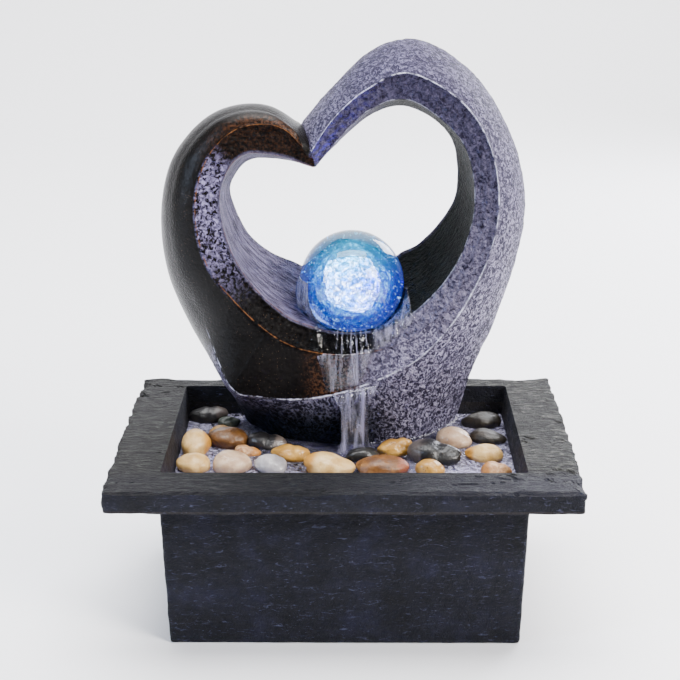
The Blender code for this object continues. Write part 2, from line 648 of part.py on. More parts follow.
def make_water_way(mats):
    axis = (BALL_X, BALL_Y, 0)
    bm = bmesh.new()
    tip = LENS_TOP + NOZZLE_PROUD
    turned(bm, axis, [(BARB_RADIUS, NOZZLE_BOTTOM), (BARB_RADIUS, NOZZLE_STEP), (NOZZLE_RADIUS, NOZZLE_STEP),
                      (NOZZLE_RADIUS, tip), (WATER_BORE, tip), (WATER_BORE, NOZZLE_BOTTOM)],
           hollow=True, steps=20)
    add_object("jet_nozzle", bm, mats["black_plastic"], axis)
    bm = bmesh.new()
    tube(bm, axis, HOSE_OUTER, HOSE_BORE, STUB_SHOULDER + GAP, NOZZLE_STEP - GAP, steps=20)
    add_object("outlet_hose", bm, mats["clear_hose"], axis)


# ---------------------------------------------------------------- pump

def make_motor(mats):
    y = (BALL_Y - PUMP_WIDTH / 2, BALL_Y + PUMP_WIDTH / 2)
    axis = (0, BALL_Y, SHAFT_Z)
    well_bore = ROTOR_RADIUS + WELL_CLEARANCE
    well_outer = well_bore + WELL_WALL
    well_end = MOTOR_FACE + ROTOR_LENGTH + 2 * ROTOR_END_GAP
    bm = bmesh.new()
    chamfered_box(bm, (MOTOR_FACE, MOTOR_END), y, (PUMP_BASE, PUMP_TOP), MOTOR_CHAMFER)
    origin = (MOTOR_FACE, BALL_Y, SHAFT_Z)
    housing = add_object("pump_housing", bm, mats["black_plastic"], origin, smooth=False)
    pocket_y = (y[0] + MOTOR_WALL, y[1] - MOTOR_WALL)
    pocket_z = (PUMP_BASE + MOTOR_WALL, PUMP_TOP - MOTOR_WALL)
    bm = bmesh.new()
    box(bm, (MOTOR_FACE + MOTOR_WALL, MOTOR_END + CUT), pocket_y, pocket_z)
    boolean(housing, bm, "stator_pocket")
    bm = bmesh.new()
    rod(bm, axis, well_outer, MOTOR_FACE + CUT, well_end + WELL_WALL + GAP, "X")
    boolean(housing, bm, "rotor_well_wall", "UNION")
    bm = bmesh.new()
    rod(bm, axis, well_bore, MOTOR_FACE - CUT, well_end, "X")
    boolean(housing, bm, "rotor_well")
    bm = bmesh.new()
    box(bm, (MOTOR_END - END_CAP, MOTOR_END), (pocket_y[0] + GAP, pocket_y[1] - GAP),
        (pocket_z[0] + GAP, pocket_z[1] - GAP))
    add_object("motor_end_cap", bm, mats["potting_resin"], (MOTOR_END, BALL_Y, SHAFT_Z), smooth=False)
    make_stator(mats, well_outer)

    bm = bmesh.new()
    rod(bm, axis, SHAFT_RADIUS, BALL_X - SHAFT_REACH, well_end - GAP, "X", 12)
    add_object("impeller_shaft", bm, mats["ceramic"], (MOTOR_FACE, BALL_Y, SHAFT_Z))
    magnet = (MOTOR_FACE + ROTOR_END_GAP, MOTOR_FACE + ROTOR_END_GAP + ROTOR_LENGTH)
    bm = bmesh.new()
    tube(bm, axis, ROTOR_RADIUS, SHAFT_RADIUS + RUNNING, *magnet, "X", 20)
    add_object("rotor_magnet", bm, mats["ferrite"], (magnet[0], BALL_Y, SHAFT_Z))
    make_impeller(mats, axis, magnet[0] - GAP)


def make_stator(mats, well_outer):
    """Yoke that straddles the rotor's well, and the coil on its bridge."""
    stack = (MOTOR_FACE + STACK[0], MOTOR_FACE + STACK[1])
    leg_in = well_outer + GAP
    leg_out = leg_in + LEG_WIDTH
    foot_z = SHAFT_Z - LEG_DROP
    yoke_z = (PUMP_TOP - YOKE_BELOW_TOP[0], PUMP_TOP - YOKE_BELOW_TOP[1])
    outline = [(-leg_out, foot_z), (-leg_in, foot_z), (-leg_in, yoke_z[0]), (leg_in, yoke_z[0]),
               (leg_in, foot_z), (leg_out, foot_z), (leg_out, yoke_z[1]), (-leg_out, yoke_z[1])]
    bm = bmesh.new()
    skin(bm, [[Vector((x, BALL_Y + b, c)) for b, c in outline] for x in stack])
    add_object("stator_core", bm, mats["core_steel"], (stack[0], BALL_Y, SHAFT_Z), smooth=False)

    def window(grow):
        low, high = stack[0] - grow, stack[1] + grow
        bottom, top = yoke_z[0] - grow, yoke_z[1] + grow
        return [(low, bottom), (high, bottom), (high, top), (low, top)]

    half = leg_in - COIL_END_GAP
    rings = [[Vector((x, BALL_Y + side, z)) for x, z in window(grow)]
             for grow, side in ((COIL_BUILD, -half), (COIL_BUILD, half), (GAP, half), (GAP, -half))]
    bm = bmesh.new()
    skin(bm, rings, loop=True)
    add_object("stator_coil", bm, mats["copper_winding"], (stack[0], BALL_Y, yoke_z[0]), smooth=False)


def make_impeller(mats, axis, neck_end):
    """Back plate, straight blades and a neck that the magnet is moulded to."""
    plate = (MOTOR_FACE - PLATE_SETBACK - PLATE_THICKNESS, MOTOR_FACE - PLATE_SETBACK)
    bore, hub_end = SHAFT_RADIUS + RUNNING, plate[0] - HUB_LENGTH
    bm = bmesh.new()
    turned(bm, axis, [(IMPELLER_RADIUS, plate[0]), (IMPELLER_RADIUS, plate[1]), (NECK_RADIUS, plate[1]),
                      (NECK_RADIUS, neck_end), (bore, neck_end), (bore, hub_end), (HUB_RADIUS, hub_end),
                      (HUB_RADIUS, plate[0])], "X", 20, hollow=True)
    impeller = add_object("impeller", bm, mats["white_plastic"], (MOTOR_FACE, BALL_Y, SHAFT_Z))
    for i in range(BLADE_COUNT):
        angle = 2 * pi * i / BLADE_COUNT
        along = Vector((0, cos(angle), sin(angle)))
        across = Vector((0, -sin(angle), cos(angle))) * BLADE_HALF
        root, tip = along * BLADE_ROOT, along * (IMPELLER_RADIUS - 2 * RUNNING)
        corners = [root - across, tip - across, tip + across, root + across]
        bm = bmesh.new()
        skin(bm, [[Vector(axis) + Vector((x, 0, 0)) + c for c in corners]
                  for x in (plate[0] - BLADE_LENGTH, plate[0] + PLATE_THICKNESS / 2)])
        boolean(impeller, bm, f"blade_{i + 1}", "UNION")


def ring_places(count, radius, phase):
    """Y and Z of points spaced round the shaft; phase is in turns of one space."""
    angles = [2 * pi * (i + phase) / count for i in range(count)]
    return [(BALL_Y + radius * cos(a), SHAFT_Z + radius * sin(a)) for a in angles]


def make_volute(mats):
    """Round chamber with intake holes, a shaft socket and the outlet stub."""
    axis = (0, BALL_Y, SHAFT_Z)
    front, back = BALL_X - VOLUTE_REACH, MOTOR_FACE - GAP
    inside = front + VOLUTE_WALL
    chamber = VOLUTE_RADIUS - VOLUTE_WALL
    bm = bmesh.new()
    rod(bm, axis, VOLUTE_RADIUS, front, back, "X", 32)
    volute = add_object("volute_cover", bm, mats["black_plastic"], (BALL_X, BALL_Y, SHAFT_Z))
    bm = bmesh.new()
    shoulder = HOSE_OUTER + STUB_WALL
    turned(bm, (BALL_X, BALL_Y, 0), [(shoulder, SHAFT_Z + chamber + CUT), (shoulder, STUB_SHOULDER),
                                     (BARB_RADIUS, STUB_SHOULDER), (BARB_RADIUS, STUB_TOP)], steps=20)
    boolean(volute, bm, "outlet_stub", "UNION")
    bm = bmesh.new()
    rod(bm, axis, chamber, inside, back + CUT, "X", 32)
    boolean(volute, bm, "chamber")
    bm = bmesh.new()
    rod(bm, (BALL_X, BALL_Y, 0), WATER_BORE, SHAFT_Z + chamber - 2 * CUT, STUB_TOP + CUT, steps=16)
    boolean(volute, bm, "outlet_bore")
    bm = bmesh.new()
    rod(bm, axis, SHAFT_RADIUS + GAP, front + SOCKET_WALL, inside + CUT, "X", 12)
    boolean(volute, bm, "shaft_socket")
    for i, (y, z) in enumerate(ring_places(INTAKE_COUNT, INTAKE_CIRCLE, 0.5), 1):
        bm = bmesh.new()
        rod(bm, (0, y, z), INTAKE_RADIUS, front - CUT, inside + CUT, "X", 12)
        boolean(volute, bm, f"intake_{i}")


def make_strainer(mats):
    """Open-backed box over the volute, slotted at its sides, with the flow dial on its front."""
    wall = STRAINER_WALL
    half = VOLUTE_RADIUS + wall + STRAINER_CLEARANCE
    x = (MOTOR_FACE - GAP - STRAINER_LENGTH, MOTOR_FACE - GAP)
    y, z = (BALL_Y - half, BALL_Y + half), (SHAFT_Z - half, SHAFT_Z + half)
    bm = bmesh.new()
    chamfered_box(bm, x, y, z, STRAINER_CHAMFER)
    strainer = add_object("strainer_cover", bm, mats["black_plastic"], (x[0], BALL_Y, SHAFT_Z), smooth=False)
    bm = bmesh.new()
    box(bm, (x[0] + wall, x[1] + CUT), (y[0] + wall, y[1] - wall), (z[0] + wall, z[1] - wall))
    boolean(strainer, bm, "strainer_hollow")
    bm = bmesh.new()
    notch = HOSE_OUTER + STUB_WALL + NOTCH_CLEARANCE
    box(bm, (BALL_X - notch, x[1] + CUT), (BALL_Y - notch, BALL_Y + notch), (z[1] - wall - CUT, z[1] + CUT))
    boolean(strainer, bm, "stub_notch")
    for i in range(SLOT_COUNT):
        low = x[0] + SLOT_INSET + i * SLOT_PITCH
        bm = bmesh.new()
        box(bm, (low, low + SLOT_WIDTH), (y[0] - CUT, y[1] + CUT), (z[0] + SLOT_END, z[1] - SLOT_END))
        boolean(strainer, bm, f"side_slot_{i + 1}")
    bm = bmesh.new()
    rod(bm, (0, BALL_Y, SHAFT_Z), DIAL_PIN + GAP, x[0] - CUT, x[0] + wall + CUT, "X", 16)
    boolean(strainer, bm, "dial_pivot")
    quarter = FLOW_COUNT / 4
    for i, (hole_y, hole_z) in enumerate(ring_places(FLOW_COUNT, FLOW_CIRCLE, quarter), 1):
        bm = bmesh.new()
        rod(bm, (0, hole_y, hole_z), FLOW_RADIUS, x[0] - CUT, x[0] + wall + CUT, "X", 12)
        boolean(strainer, bm, f"flow_hole_{i}")
    make_dial(mats, x[0] - GAP, quarter)


def make_dial(mats, face, quarter):
    """Flow dial with its pin through the strainer's front; its holes stand a quarter of a space round."""
    front = face - DIAL_THICKNESS
    bevel, bevel_end = DIAL_BEVEL
    bm = bmesh.new()
    turned(bm, (0, BALL_Y, SHAFT_Z), [(DIAL_RADIUS - bevel, front), (DIAL_RADIUS, front + bevel_end),
                                      (DIAL_RADIUS, face), (DIAL_PIN, face),
                                      (DIAL_PIN, face + STRAINER_WALL + PIN_PROUD)], "X", 24)
    dial = add_object("flow_dial", bm, mats["grey_plastic"], (face + GAP, BALL_Y, SHAFT_Z))
    bm = bmesh.new()
    half_width, half_length = GRIP_HALF
    box(bm, (front - GRIP_HEIGHT, front + SLEEVE_CLEARANCE), (BALL_Y - half_width, BALL_Y + half_width),
        (SHAFT_Z - half_length, SHAFT_Z + half_length))
    boolean(dial, bm, "dial_grip", "UNION")
    for i, (hole_y, hole_z) in enumerate(ring_places(FLOW_COUNT, FLOW_CIRCLE, quarter + 0.25), 1):
        bm = bmesh.new()
        rod(bm, (0, hole_y, hole_z), FLOW_RADIUS, front - CUT, face + CUT / 2, "X", 12)
        boolean(dial, bm, f"dial_hole_{i}")


def make_suction_cups(mat):
    ends = (MOTOR_FACE + CUP_INSET, MOTOR_END - CUP_INSET)
    places = [(x, BALL_Y + side * CUP_SPREAD) for x in ends for side in (-1, 1)]
    low, high = FLOOR_TOP + GAP, PUMP_BASE - GAP
    for i, (x, y) in enumerate(places, 1):
        bm = bmesh.new()
        turned(bm, (x, y, 0), [(r, low + h) for r, h in CUP_PROFILE] + [(CUP_STEM, high)], steps=16)
        add_object(f"suction_cup_{i}", bm, mat, (x, y, low))


# ---------------------------------------------------------------- leads and gland

def lead(name, points, radius, mat):
    """Round lead as a curve through the route's points."""
    line = smooth_line([Vector(p) for p in points], 4)
    curve = bpy.data.curves.new(name, "CURVE")
    curve.dimensions = "3D"
    spline = curve.splines.new("POLY")
    spline.points.add(len(line) - 1)
    for point, place in zip(spline.points, line):
        point.co = (*(place * MM), 1)
    curve.bevel_depth = radius * MM
    curve.bevel_resolution = 2
    curve.use_fill_caps = True
    curve.materials.append(mat)
    bpy.context.scene.collection.objects.link(bpy.data.objects.new(name, curve))


def make_leads(mats):
    """The pump's lead to the gland, and the light's lead down to its plug on the pump."""
    height = gland_height()
    _, _, back = body_sides(height)
    bend_x, bend_y = GLAND_X - LEAD_BEND, BALL_Y + LEAD_BEND
    route = [(MOTOR_END + GAP, BALL_Y, height), (bend_x, BALL_Y, height)]
    for a in (radians(30), radians(60), radians(90)):
        route.append((bend_x + LEAD_BEND * sin(a), bend_y - LEAD_BEND * cos(a), height))
    route.append((GLAND_X, back - CUT, height))
    lead("pump_lead", route, LEAD_RADIUS, mats["black_rubber"])

    top = led_lead_top()
    plug_top = plug_places()[2]
    rise = top.z - plug_top
    # across from the plug's axis to the housing's hole as (share of the way across, share of the rise)
    shares = [(0, 0.12), (0.25, 0.29), (0.5, 0.44), (0.75, 0.59), (1, 0.76)]
    route = [(LED_PLUG_X, BALL_Y, plug_top + GAP)]
    for across, up in shares:
        route.append((LED_PLUG_X + (top.x - LED_PLUG_X) * across, BALL_Y, plug_top + rise * up))
    route.append((top.x, BALL_Y, top.z + LIGHT_FLOOR - GAP))
    lead("led_lead", route, LED_LEAD_RADIUS, mats["black_rubber"])


def make_plug(mats):
    """The light's socket on the pump, and the plug in it."""
    base, socket_top, plug_top = plug_places()
    axis = (LED_PLUG_X, BALL_Y, 0)
    half_x, half_y = SOCKET_HALF
    bm = bmesh.new()
    box(bm, (LED_PLUG_X - half_x, LED_PLUG_X + half_x), (BALL_Y - half_y, BALL_Y + half_y),
        (base, socket_top))
    socket = add_object("led_socket", bm, mats["grey_plastic"], (LED_PLUG_X, BALL_Y, base), smooth=False)
    hole_floor = base + SOCKET_FLOOR
    bm = bmesh.new()
    rod(bm, axis, PLUG_PIN + GAP, hole_floor, socket_top + CUT, steps=16)
    boolean(socket, bm, "plug_hole")
    shoulder = socket_top + GAP
    bm = bmesh.new()
    turned(bm, axis, [(PLUG_PIN, hole_floor + GAP), (PLUG_PIN, shoulder), (PLUG_RADIUS, shoulder),
                      (PLUG_RADIUS, plug_top - PLUG_LENGTH * 0.3), (PLUG_NECK, plug_top)], steps=16)
    add_object("led_plug", bm, mats["black_plastic"], (LED_PLUG_X, BALL_Y, socket_top))


def plug_places():
    """Bottom and top of the light's socket, and the top of its plug."""
    base = PUMP_TOP + GAP
    socket_top = base + SOCKET_HEIGHT
    return base, socket_top, socket_top + PLUG_LENGTH


def make_gland(mats):
    height = gland_height()
    _, _, back = body_sides(height)
    _, _, inner_wall = reservoir_sides()
    axis = (GLAND_X, 0, height)
    bore = LEAD_RADIUS + GAP
    thread_end = inner_wall - GLAND_INSIDE
    # the flange is clear of the sloping wall at its top edge
    flange = back + BODY_DRAFT * GLAND_FLANGE + GAP
    rim, end = flange + GLAND_SHOULDERS[0], flange + GLAND_SHOULDERS[1]
    bm = bmesh.new()
    turned(bm, axis, [(GLAND_RADIUS, thread_end), (GLAND_RADIUS, flange), (GLAND_FLANGE, flange),
                      (GLAND_FLANGE, rim), (GLAND_RADIUS, end), (bore, end), (bore, thread_end)],
           "Y", 20, hollow=True)
    add_object("cable_gland", bm, mats["black_plastic"], (GLAND_X, back, height))
    face = inner_wall - GAP
    bm = bmesh.new()
    rod(bm, axis, NUT_RADIUS, face - NUT_THICKNESS, face, "Y", 6)
    nut = add_object("gland_nut", bm, mats["grey_plastic"], (GLAND_X, inner_wall, height), smooth=False)
    bm = bmesh.new()
    rod(bm, axis, GLAND_RADIUS + GAP, face - NUT_THICKNESS - CUT, face + CUT, "Y", 20)
    boolean(nut, bm, "nut_bore")


# ---------------------------------------------------------------- pebbles

class Stone:
    """One pebble: an ellipse in plan that can be moved until it is clear of what is round it."""

    def __init__(self, x, y, length, width, height, turn, finish):
        self.place = Vector((x, y))
        self.half = (length, width, height)
        self.turn = radians(turn)
        self.finish = finish

    def reach(self, direction):
        """How far the stone stands out from its centre along a unit direction."""
        along = direction.x * cos(self.turn) + direction.y * sin(self.turn)
        across = direction.y * cos(self.turn) - direction.x * sin(self.turn)
        return hypot(self.half[0] * along, self.half[1] * across)


def settle(stones):
    """Push the stones apart in plan until each one clears its neighbours, the wall and the sculpture."""
    half_x, half_y = inner_half(DECK_TOP)
    stretch = HEART_WIDTH / DRAWN_WIDTH
    foot = Vector((FOOT_CENTRE_X * stretch, HEART_BACK))
    foot_x, foot_y = FOOT_HALF_WIDTH * stretch + PEBBLE_TO_FOOT[0], FOOT_REACH + PEBBLE_TO_FOOT[1]
    for _ in range(SETTLE_ROUNDS):
        for i, one in enumerate(stones):
            for two in stones[i + 1:]:
                apart = two.place - one.place
                way = apart.normalized()
                lack = one.reach(way) + two.reach(way) + PEBBLE_GAP - apart.length
                if lack > 0:
                    one.place -= way * lack / 2
                    two.place += way * lack / 2
            way = (one.place - foot).normalized()
            lack = hypot(foot_x * way.x, foot_y * way.y) + one.reach(way) - (one.place - foot).length
            if lack > 0:
                one.place += way * lack
            room_x = half_x - PEBBLE_GAP - one.reach(Vector((1, 0)))
            room_y = half_y - PEBBLE_GAP - one.reach(Vector((0, 1)))
            one.place.x = min(max(one.place.x, -room_x), room_x)
            one.place.y = min(max(one.place.y, OPENING_Y - room_y), OPENING_Y + room_y)


def make_pebbles(mats):
    half_x, half_y = inner_half(DECK_TOP)
    drawn_x, drawn_y, middle = DRAWN_OPENING
    stones = [Stone(x * half_x / drawn_x, OPENING_Y + (y - middle) * half_y / drawn_y, *rest)
              for x, y, *rest in PEBBLES]
    settle(stones)
    for number, stone in enumerate(stones, 1):
        length, width, height = stone.half
        centre = (stone.place.x, stone.place.y, DECK_TOP + GAP + height)
        bm = bmesh.new()
        bmesh.ops.create_icosphere(bm, subdivisions=2, radius=1.0)
        for vert in bm.verts:
            p = vert.co
            # two slow waves flatten each stone a little differently
            lump = 1 - 0.05 * (1 + sin(2.3 * p.x + number)) - 0.03 * (1 + sin(3.1 * p.y + 2 * number))
            x, y = p.x * length * lump, p.y * width * lump
            vert.co = Vector((centre[0] + x * cos(stone.turn) - y * sin(stone.turn),
                              centre[1] + x * sin(stone.turn) + y * cos(stone.turn),
                              centre[2] + p.z * height))
        add_object(f"pebble_{number:02d}", bm, mats[stone.finish], centre)


# ---------------------------------------------------------------- the whole fountain

def main():
    clear_scene()
    finishes = {
        "slate_resin": ("3b3c46", 0.62), "dark_glaze": ("4a4650", 0.35), "deck_plastic": ("4e4f5c", 0.5),
        "black_rubber": ("17171a", 0.75), "black_plastic": ("1c1d20", 0.45), "grey_plastic": ("6c7076", 0.5),
        "white_plastic": ("d9dadc", 0.4), "circuit_board": ("1f5a37", 0.5), "led_epoxy": ("dfe9ff", 0.15),
        "ceramic": ("ece8df", 0.25), "ferrite": ("2c2b2d", 0.55), "potting_resin": ("121214", 0.3),
        "slate_pebble": ("4a4848", 0.25), "moss_pebble": ("50574c", 0.25), "amber_pebble": ("b98b4b", 0.25),
        "cream_pebble": ("d8c39c", 0.25), "brown_pebble": ("6b513d", 0.25), "tan_pebble": ("b08a68", 0.25),
        "blush_pebble": ("c9a58d", 0.25), "white_pebble": ("b9b6b4", 0.25), "black_pebble": ("2d2c2e", 0.2),
        "russet_pebble": ("7c5440", 0.25), "bark_pebble": ("403a33", 0.25),
    }
    mats = {name: make_material(name, *look) for name, look in finishes.items()}
    mats["crystal_glass"] = make_material("crystal_glass", "9fc4ff", 0.05, alpha=0.5)
    mats["clear_lens"] = make_material("clear_lens", "e6f0ff", 0.1, alpha=0.4)
    mats["clear_hose"] = make_material("clear_hose", "d8dde0", 0.2, alpha=0.5)
    mats["core_steel"] = make_material("core_steel", "7b7d80", 0.45, 1.0)
    mats["copper_winding"] = make_material("copper_winding", "b4692f", 0.35, 1.0)
    make_basin(mats["slate_resin"])
    make_feet(mats["black_rubber"])
    make_deck(mats["deck_plastic"])
    make_heart(mats["dark_glaze"])
    make_ball(mats["crystal_glass"])
    make_light(mats)
    make_water_way(mats)
    make_motor(mats)
    make_volute(mats)
    make_strainer(mats)
    make_suction_cups(mats["black_rubber"])
    make_leads(mats)
    make_plug(mats)
    make_gland(mats)
    make_pebbles(mats)


main()
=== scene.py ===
"""Looks of a tabletop water fountain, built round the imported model. Lengths are metres unless named _mm."""
import json
from functools import partial
from itertools import product
from math import cos, sin, pi, radians

import bmesh
import bpy
import numpy as np
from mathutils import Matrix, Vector
from mathutils.kdtree import KDTree


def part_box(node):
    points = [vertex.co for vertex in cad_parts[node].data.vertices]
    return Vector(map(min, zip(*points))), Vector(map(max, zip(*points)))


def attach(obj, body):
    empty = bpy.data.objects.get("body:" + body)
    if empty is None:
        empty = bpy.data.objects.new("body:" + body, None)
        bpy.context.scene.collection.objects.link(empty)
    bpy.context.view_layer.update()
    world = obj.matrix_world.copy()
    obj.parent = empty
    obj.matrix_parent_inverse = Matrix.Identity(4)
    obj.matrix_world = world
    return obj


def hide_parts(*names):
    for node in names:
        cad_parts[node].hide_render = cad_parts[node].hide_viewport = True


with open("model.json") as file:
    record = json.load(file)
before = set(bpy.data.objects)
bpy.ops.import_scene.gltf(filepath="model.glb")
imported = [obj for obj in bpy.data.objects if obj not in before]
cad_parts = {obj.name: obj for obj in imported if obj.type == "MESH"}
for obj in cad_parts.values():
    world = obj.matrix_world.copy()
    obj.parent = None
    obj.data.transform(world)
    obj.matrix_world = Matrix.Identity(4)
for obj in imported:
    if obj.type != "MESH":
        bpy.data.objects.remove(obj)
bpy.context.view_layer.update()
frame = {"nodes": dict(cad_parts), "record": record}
MM = 0.001


# ------------------------------------------------------------------ places taken from the frame

def centre_of(node):
    low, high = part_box(node)
    return (Vector(low) + Vector(high)) / 2


BALL = centre_of("crystal_ball")
BALL_RADIUS = (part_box("crystal_ball")[1][2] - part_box("crystal_ball")[0][2]) / 2
RIM_LOW, RIM_HIGH = (Vector(c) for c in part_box("basin"))
DECK_LOW, DECK_HIGH = (Vector(c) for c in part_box("deck"))
HEART_LOW, HEART_HIGH = (Vector(c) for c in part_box("heart_sculpture"))
DECK_TOP = DECK_HIGH.z
HEART_BACK = HEART_HIGH.y
HEART_BASE = np.array((0, 0, DECK_TOP + 0.3 * MM))
WATER_LINE = DECK_TOP + 3 * MM        # water over the deck
POOL_LINE = DECK_TOP + 61 * MM        # water round the ball


# ------------------------------------------------------------------ noise and meshes

def value_noise(points, size, seed):
    """Smooth noise from -1 to 1; size is a length, or one for each axis."""
    scaled = np.asarray(points, float) / np.asarray(size, float)
    cell = np.floor(scaled).astype(np.int64)
    part = scaled - cell
    part = part * part * (3 - 2 * part)
    total = np.zeros(len(scaled))
    for corner in product((0, 1), repeat=3):
        at = cell + np.array(corner)
        # each cell corner's whole numbers are hashed to one height
        mixed = at[:, 0] * 73856093 ^ at[:, 1] * 19349663 ^ at[:, 2] * 83492791 ^ seed * 7919
        mixed = (mixed * 2246822519) & 0xFFFFFFFF
        mixed ^= mixed >> 15
        mixed = (mixed * 3266489917) & 0xFFFFFFFF
        mixed ^= mixed >> 16
        weight = np.prod(np.where(np.array(corner) == 1, part, 1 - part), axis=1)
        total += weight * (mixed / 0x7FFFFFFF - 1)
    return total


def fractal_noise(points, size, seed, octaves=4):
    """Layers of noise, each half the size and half the height of the one before."""
    size = np.asarray(size, float)
    layers = [value_noise(points, size / 2 ** k, seed + k) / 2 ** k for k in range(octaves)]
    return sum(layers) / (2 - 2 ** (1 - octaves))


def smooth_step(low, high, value):
    t = np.clip((np.asarray(value, float) - low) / (high - low), 0, 1)
    return t * t * (3 - 2 * t)


def add_piece(name, mesh):
    piece = bpy.data.objects.new(name, mesh)
    bpy.context.scene.collection.objects.link(piece)
    return piece


def mesh_piece(name, points, faces, material, closed=True):
    """Smooth-shaded piece from points and faces; the faces of a closed one are turned outwards."""
    mesh = bpy.data.meshes.new(name)
    mesh.from_pydata([tuple(p) for p in points], [], [tuple(f) for f in faces])
    mesh.update()
    mesh.shade_smooth()
    mesh.materials.append(material)
    if closed:
        bm = bmesh.new()
        bm.from_mesh(mesh)
        bmesh.ops.recalc_face_normals(bm, faces=bm.faces)
        bm.to_mesh(mesh)
        bm.free()
    return add_piece(name, mesh)


def ball_piece(name, moved, material):
    """Round piece of 20,480 faces; moved gives the places of the points of a unit sphere."""
    bm = bmesh.new()
    bmesh.ops.create_icosphere(bm, subdivisions=5, radius=1.0)
    for v, place in zip(bm.verts, moved(np.array([v.co for v in bm.verts]))):
        v.co = place
    mesh = bpy.data.meshes.new(name)
    bm.to_mesh(mesh)
    bm.free()
    mesh.shade_smooth()
    mesh.materials.append(material)
    return add_piece(name, mesh)


def grid_faces(rows, columns, wrap_rows=False, wrap_columns=True):
    """Quads over a grid of points numbered row by row."""
    faces = []
    for r in range(rows if wrap_rows else rows - 1):
        low, high = r * columns, ((r + 1) % rows) * columns
        for c in range(columns if wrap_columns else columns - 1):
            d = (c + 1) % columns
            faces.append((low + c, low + d, high + d, high + c))
    return faces


def capped_faces(rows, columns):
    """Faces of a tube of rings, closed at both ends."""
    caps = [tuple(range(columns))[::-1], tuple(range((rows - 1) * columns, rows * columns))]
    return grid_faces(rows, columns) + caps


def grid_edge(rows, columns):
    """The outline of a grid of points, once round."""
    edge = list(range(columns)) + [r * columns + columns - 1 for r in range(1, rows)]
    edge += [(rows - 1) * columns + c for c in range(columns - 2, -1, -1)]
    return edge + [r * columns for r in range(rows - 2, 0, -1)]


def wall_faces(edge, other):
    """Quads between two loops of points."""
    return list(zip(edge, edge[1:] + edge[:1], other[1:] + other[:1], other))


def point_normals(grid, wrap_rows, wrap_columns):
    """Unit normals of a (rows, columns, 3) grid of points."""
    def step(axis, wrap):
        ahead, behind = np.roll(grid, -1, axis), np.roll(grid, 1, axis)
        if not wrap:
            first, last = [slice(None)] * 3, [slice(None)] * 3
            first[axis], last[axis] = 0, -1
            behind[tuple(first)] = grid[tuple(first)]
            ahead[tuple(last)] = grid[tuple(last)]
        return ahead - behind
    normal = np.cross(step(1, wrap_columns), step(0, wrap_rows))
    return normal / np.maximum(np.linalg.norm(normal, axis=2, keepdims=True), 1e-12)


def apply_modifiers(piece):
    """Bake the modifiers into the piece's own mesh."""
    graph = bpy.context.evaluated_depsgraph_get()
    baked = bpy.data.meshes.new_from_object(piece.evaluated_get(graph))
    piece.modifiers.clear()
    piece.data = baked


def store_attribute(piece, name, values):
    layer = piece.data.attributes.new(name, "FLOAT", "POINT")
    layer.data.foreach_set("value", np.asarray(values, np.float32))


# ------------------------------------------------------------------ nodes

def linear(colour):
    """Linear RGBA of an sRGB hex value."""
    channels = [int(colour[i:i + 2], 16) / 255 for i in (0, 2, 4)]
    return (*[c / 12.92 if c <= 0.04045 else ((c + 0.055) / 1.055) ** 2.4 for c in channels], 1.0)


def add_node(tree, kind, inputs=(), out=None, ramp=None, **settings):
    """Add one node with its settings and links, and give its output called out, or else its first in use.

    The inputs are values, sRGB hex colours or other nodes' outputs: a dict by socket, or a tuple that goes to
    the sockets in use in order.
    """
    node = tree.nodes.new(kind if "Node" in kind else tree.bl_idname.removesuffix("Tree") + kind)
    for key, value in settings.items():
        setattr(node, key, value)
    if ramp:
        while len(node.color_ramp.elements) < len(ramp):
            node.color_ramp.elements.new(0.5)
        for stop, (place, colour) in zip(node.color_ramp.elements, ramp):
            stop.position, stop.color = place, linear(colour)
    if isinstance(inputs, dict):
        pairs = [(node.inputs[key], value) for key, value in inputs.items()]
    else:
        pairs = zip([socket for socket in node.inputs if socket.enabled], inputs)
    for socket, value in pairs:
        if isinstance(value, bpy.types.NodeSocket):
            tree.links.new(value, socket)
        else:
            socket.default_value = linear(value) if isinstance(value, str) else value
    return node.outputs[out] if out else next(socket for socket in node.outputs if socket.enabled)


def new_material(name, **values):
    """A Principled material with plain values on the shader's own sockets, and what adds its nodes."""
    material = bpy.data.materials.new(name)
    material.use_nodes = True
    shader = material.node_tree.nodes["Principled BSDF"]
    for key, value in values.items():
        socket = shader.inputs[key.replace("_", " ").title().replace("Ior", "IOR")]
        socket.default_value = linear(value) if isinstance(value, str) else value
    return material, shader, partial(add_node, material.node_tree)


def connect(shader, **outputs):
    for key, output in outputs.items():
        shader.id_data.links.new(output, shader.inputs[key.replace("_", " ").title()])


def scatter(piece, name, inputs, build):
    """Run a Geometry Nodes tree on the piece and bake it; inputs gives each named input's kind and value.

    The function build gets what adds a node, and the inputs, and gives the instances and their material.
    """
    tree = bpy.data.node_groups.new(name, "GeometryNodeTree")
    for way in ("OUTPUT", "INPUT"):
        tree.interface.new_socket("Geometry", in_out=way, socket_type="NodeSocketGeometry")
    for label, (kind, _) in inputs.items():
        tree.interface.new_socket(label, in_out="INPUT", socket_type=f"NodeSocket{kind}")
    add = partial(add_node, tree)
    given = tree.nodes.new("NodeGroupInput").outputs
    placed, material = build(add, given)
    solid = add("RealizeInstances", (placed,))
    finished = add("SetMaterial", {"Geometry": solid, "Material": material})
    tree.links.new(finished, tree.nodes.new("NodeGroupOutput").inputs[0])
    modifier = piece.modifiers.new(name, "NODES")
    modifier.node_group = tree
    for socket in tree.interface.items_tree:
        if socket.in_out == "INPUT" and socket.name in inputs:
            modifier[socket.identifier] = inputs[socket.name][1]
    apply_modifiers(piece)


# ------------------------------------------------------------------ finishes

COLOUR = {"data_type": "RGBA"}
TIMES = {"operation": "MULTIPLY"}
TIMES_PLUS = {"operation": "MULTIPLY_ADD"}

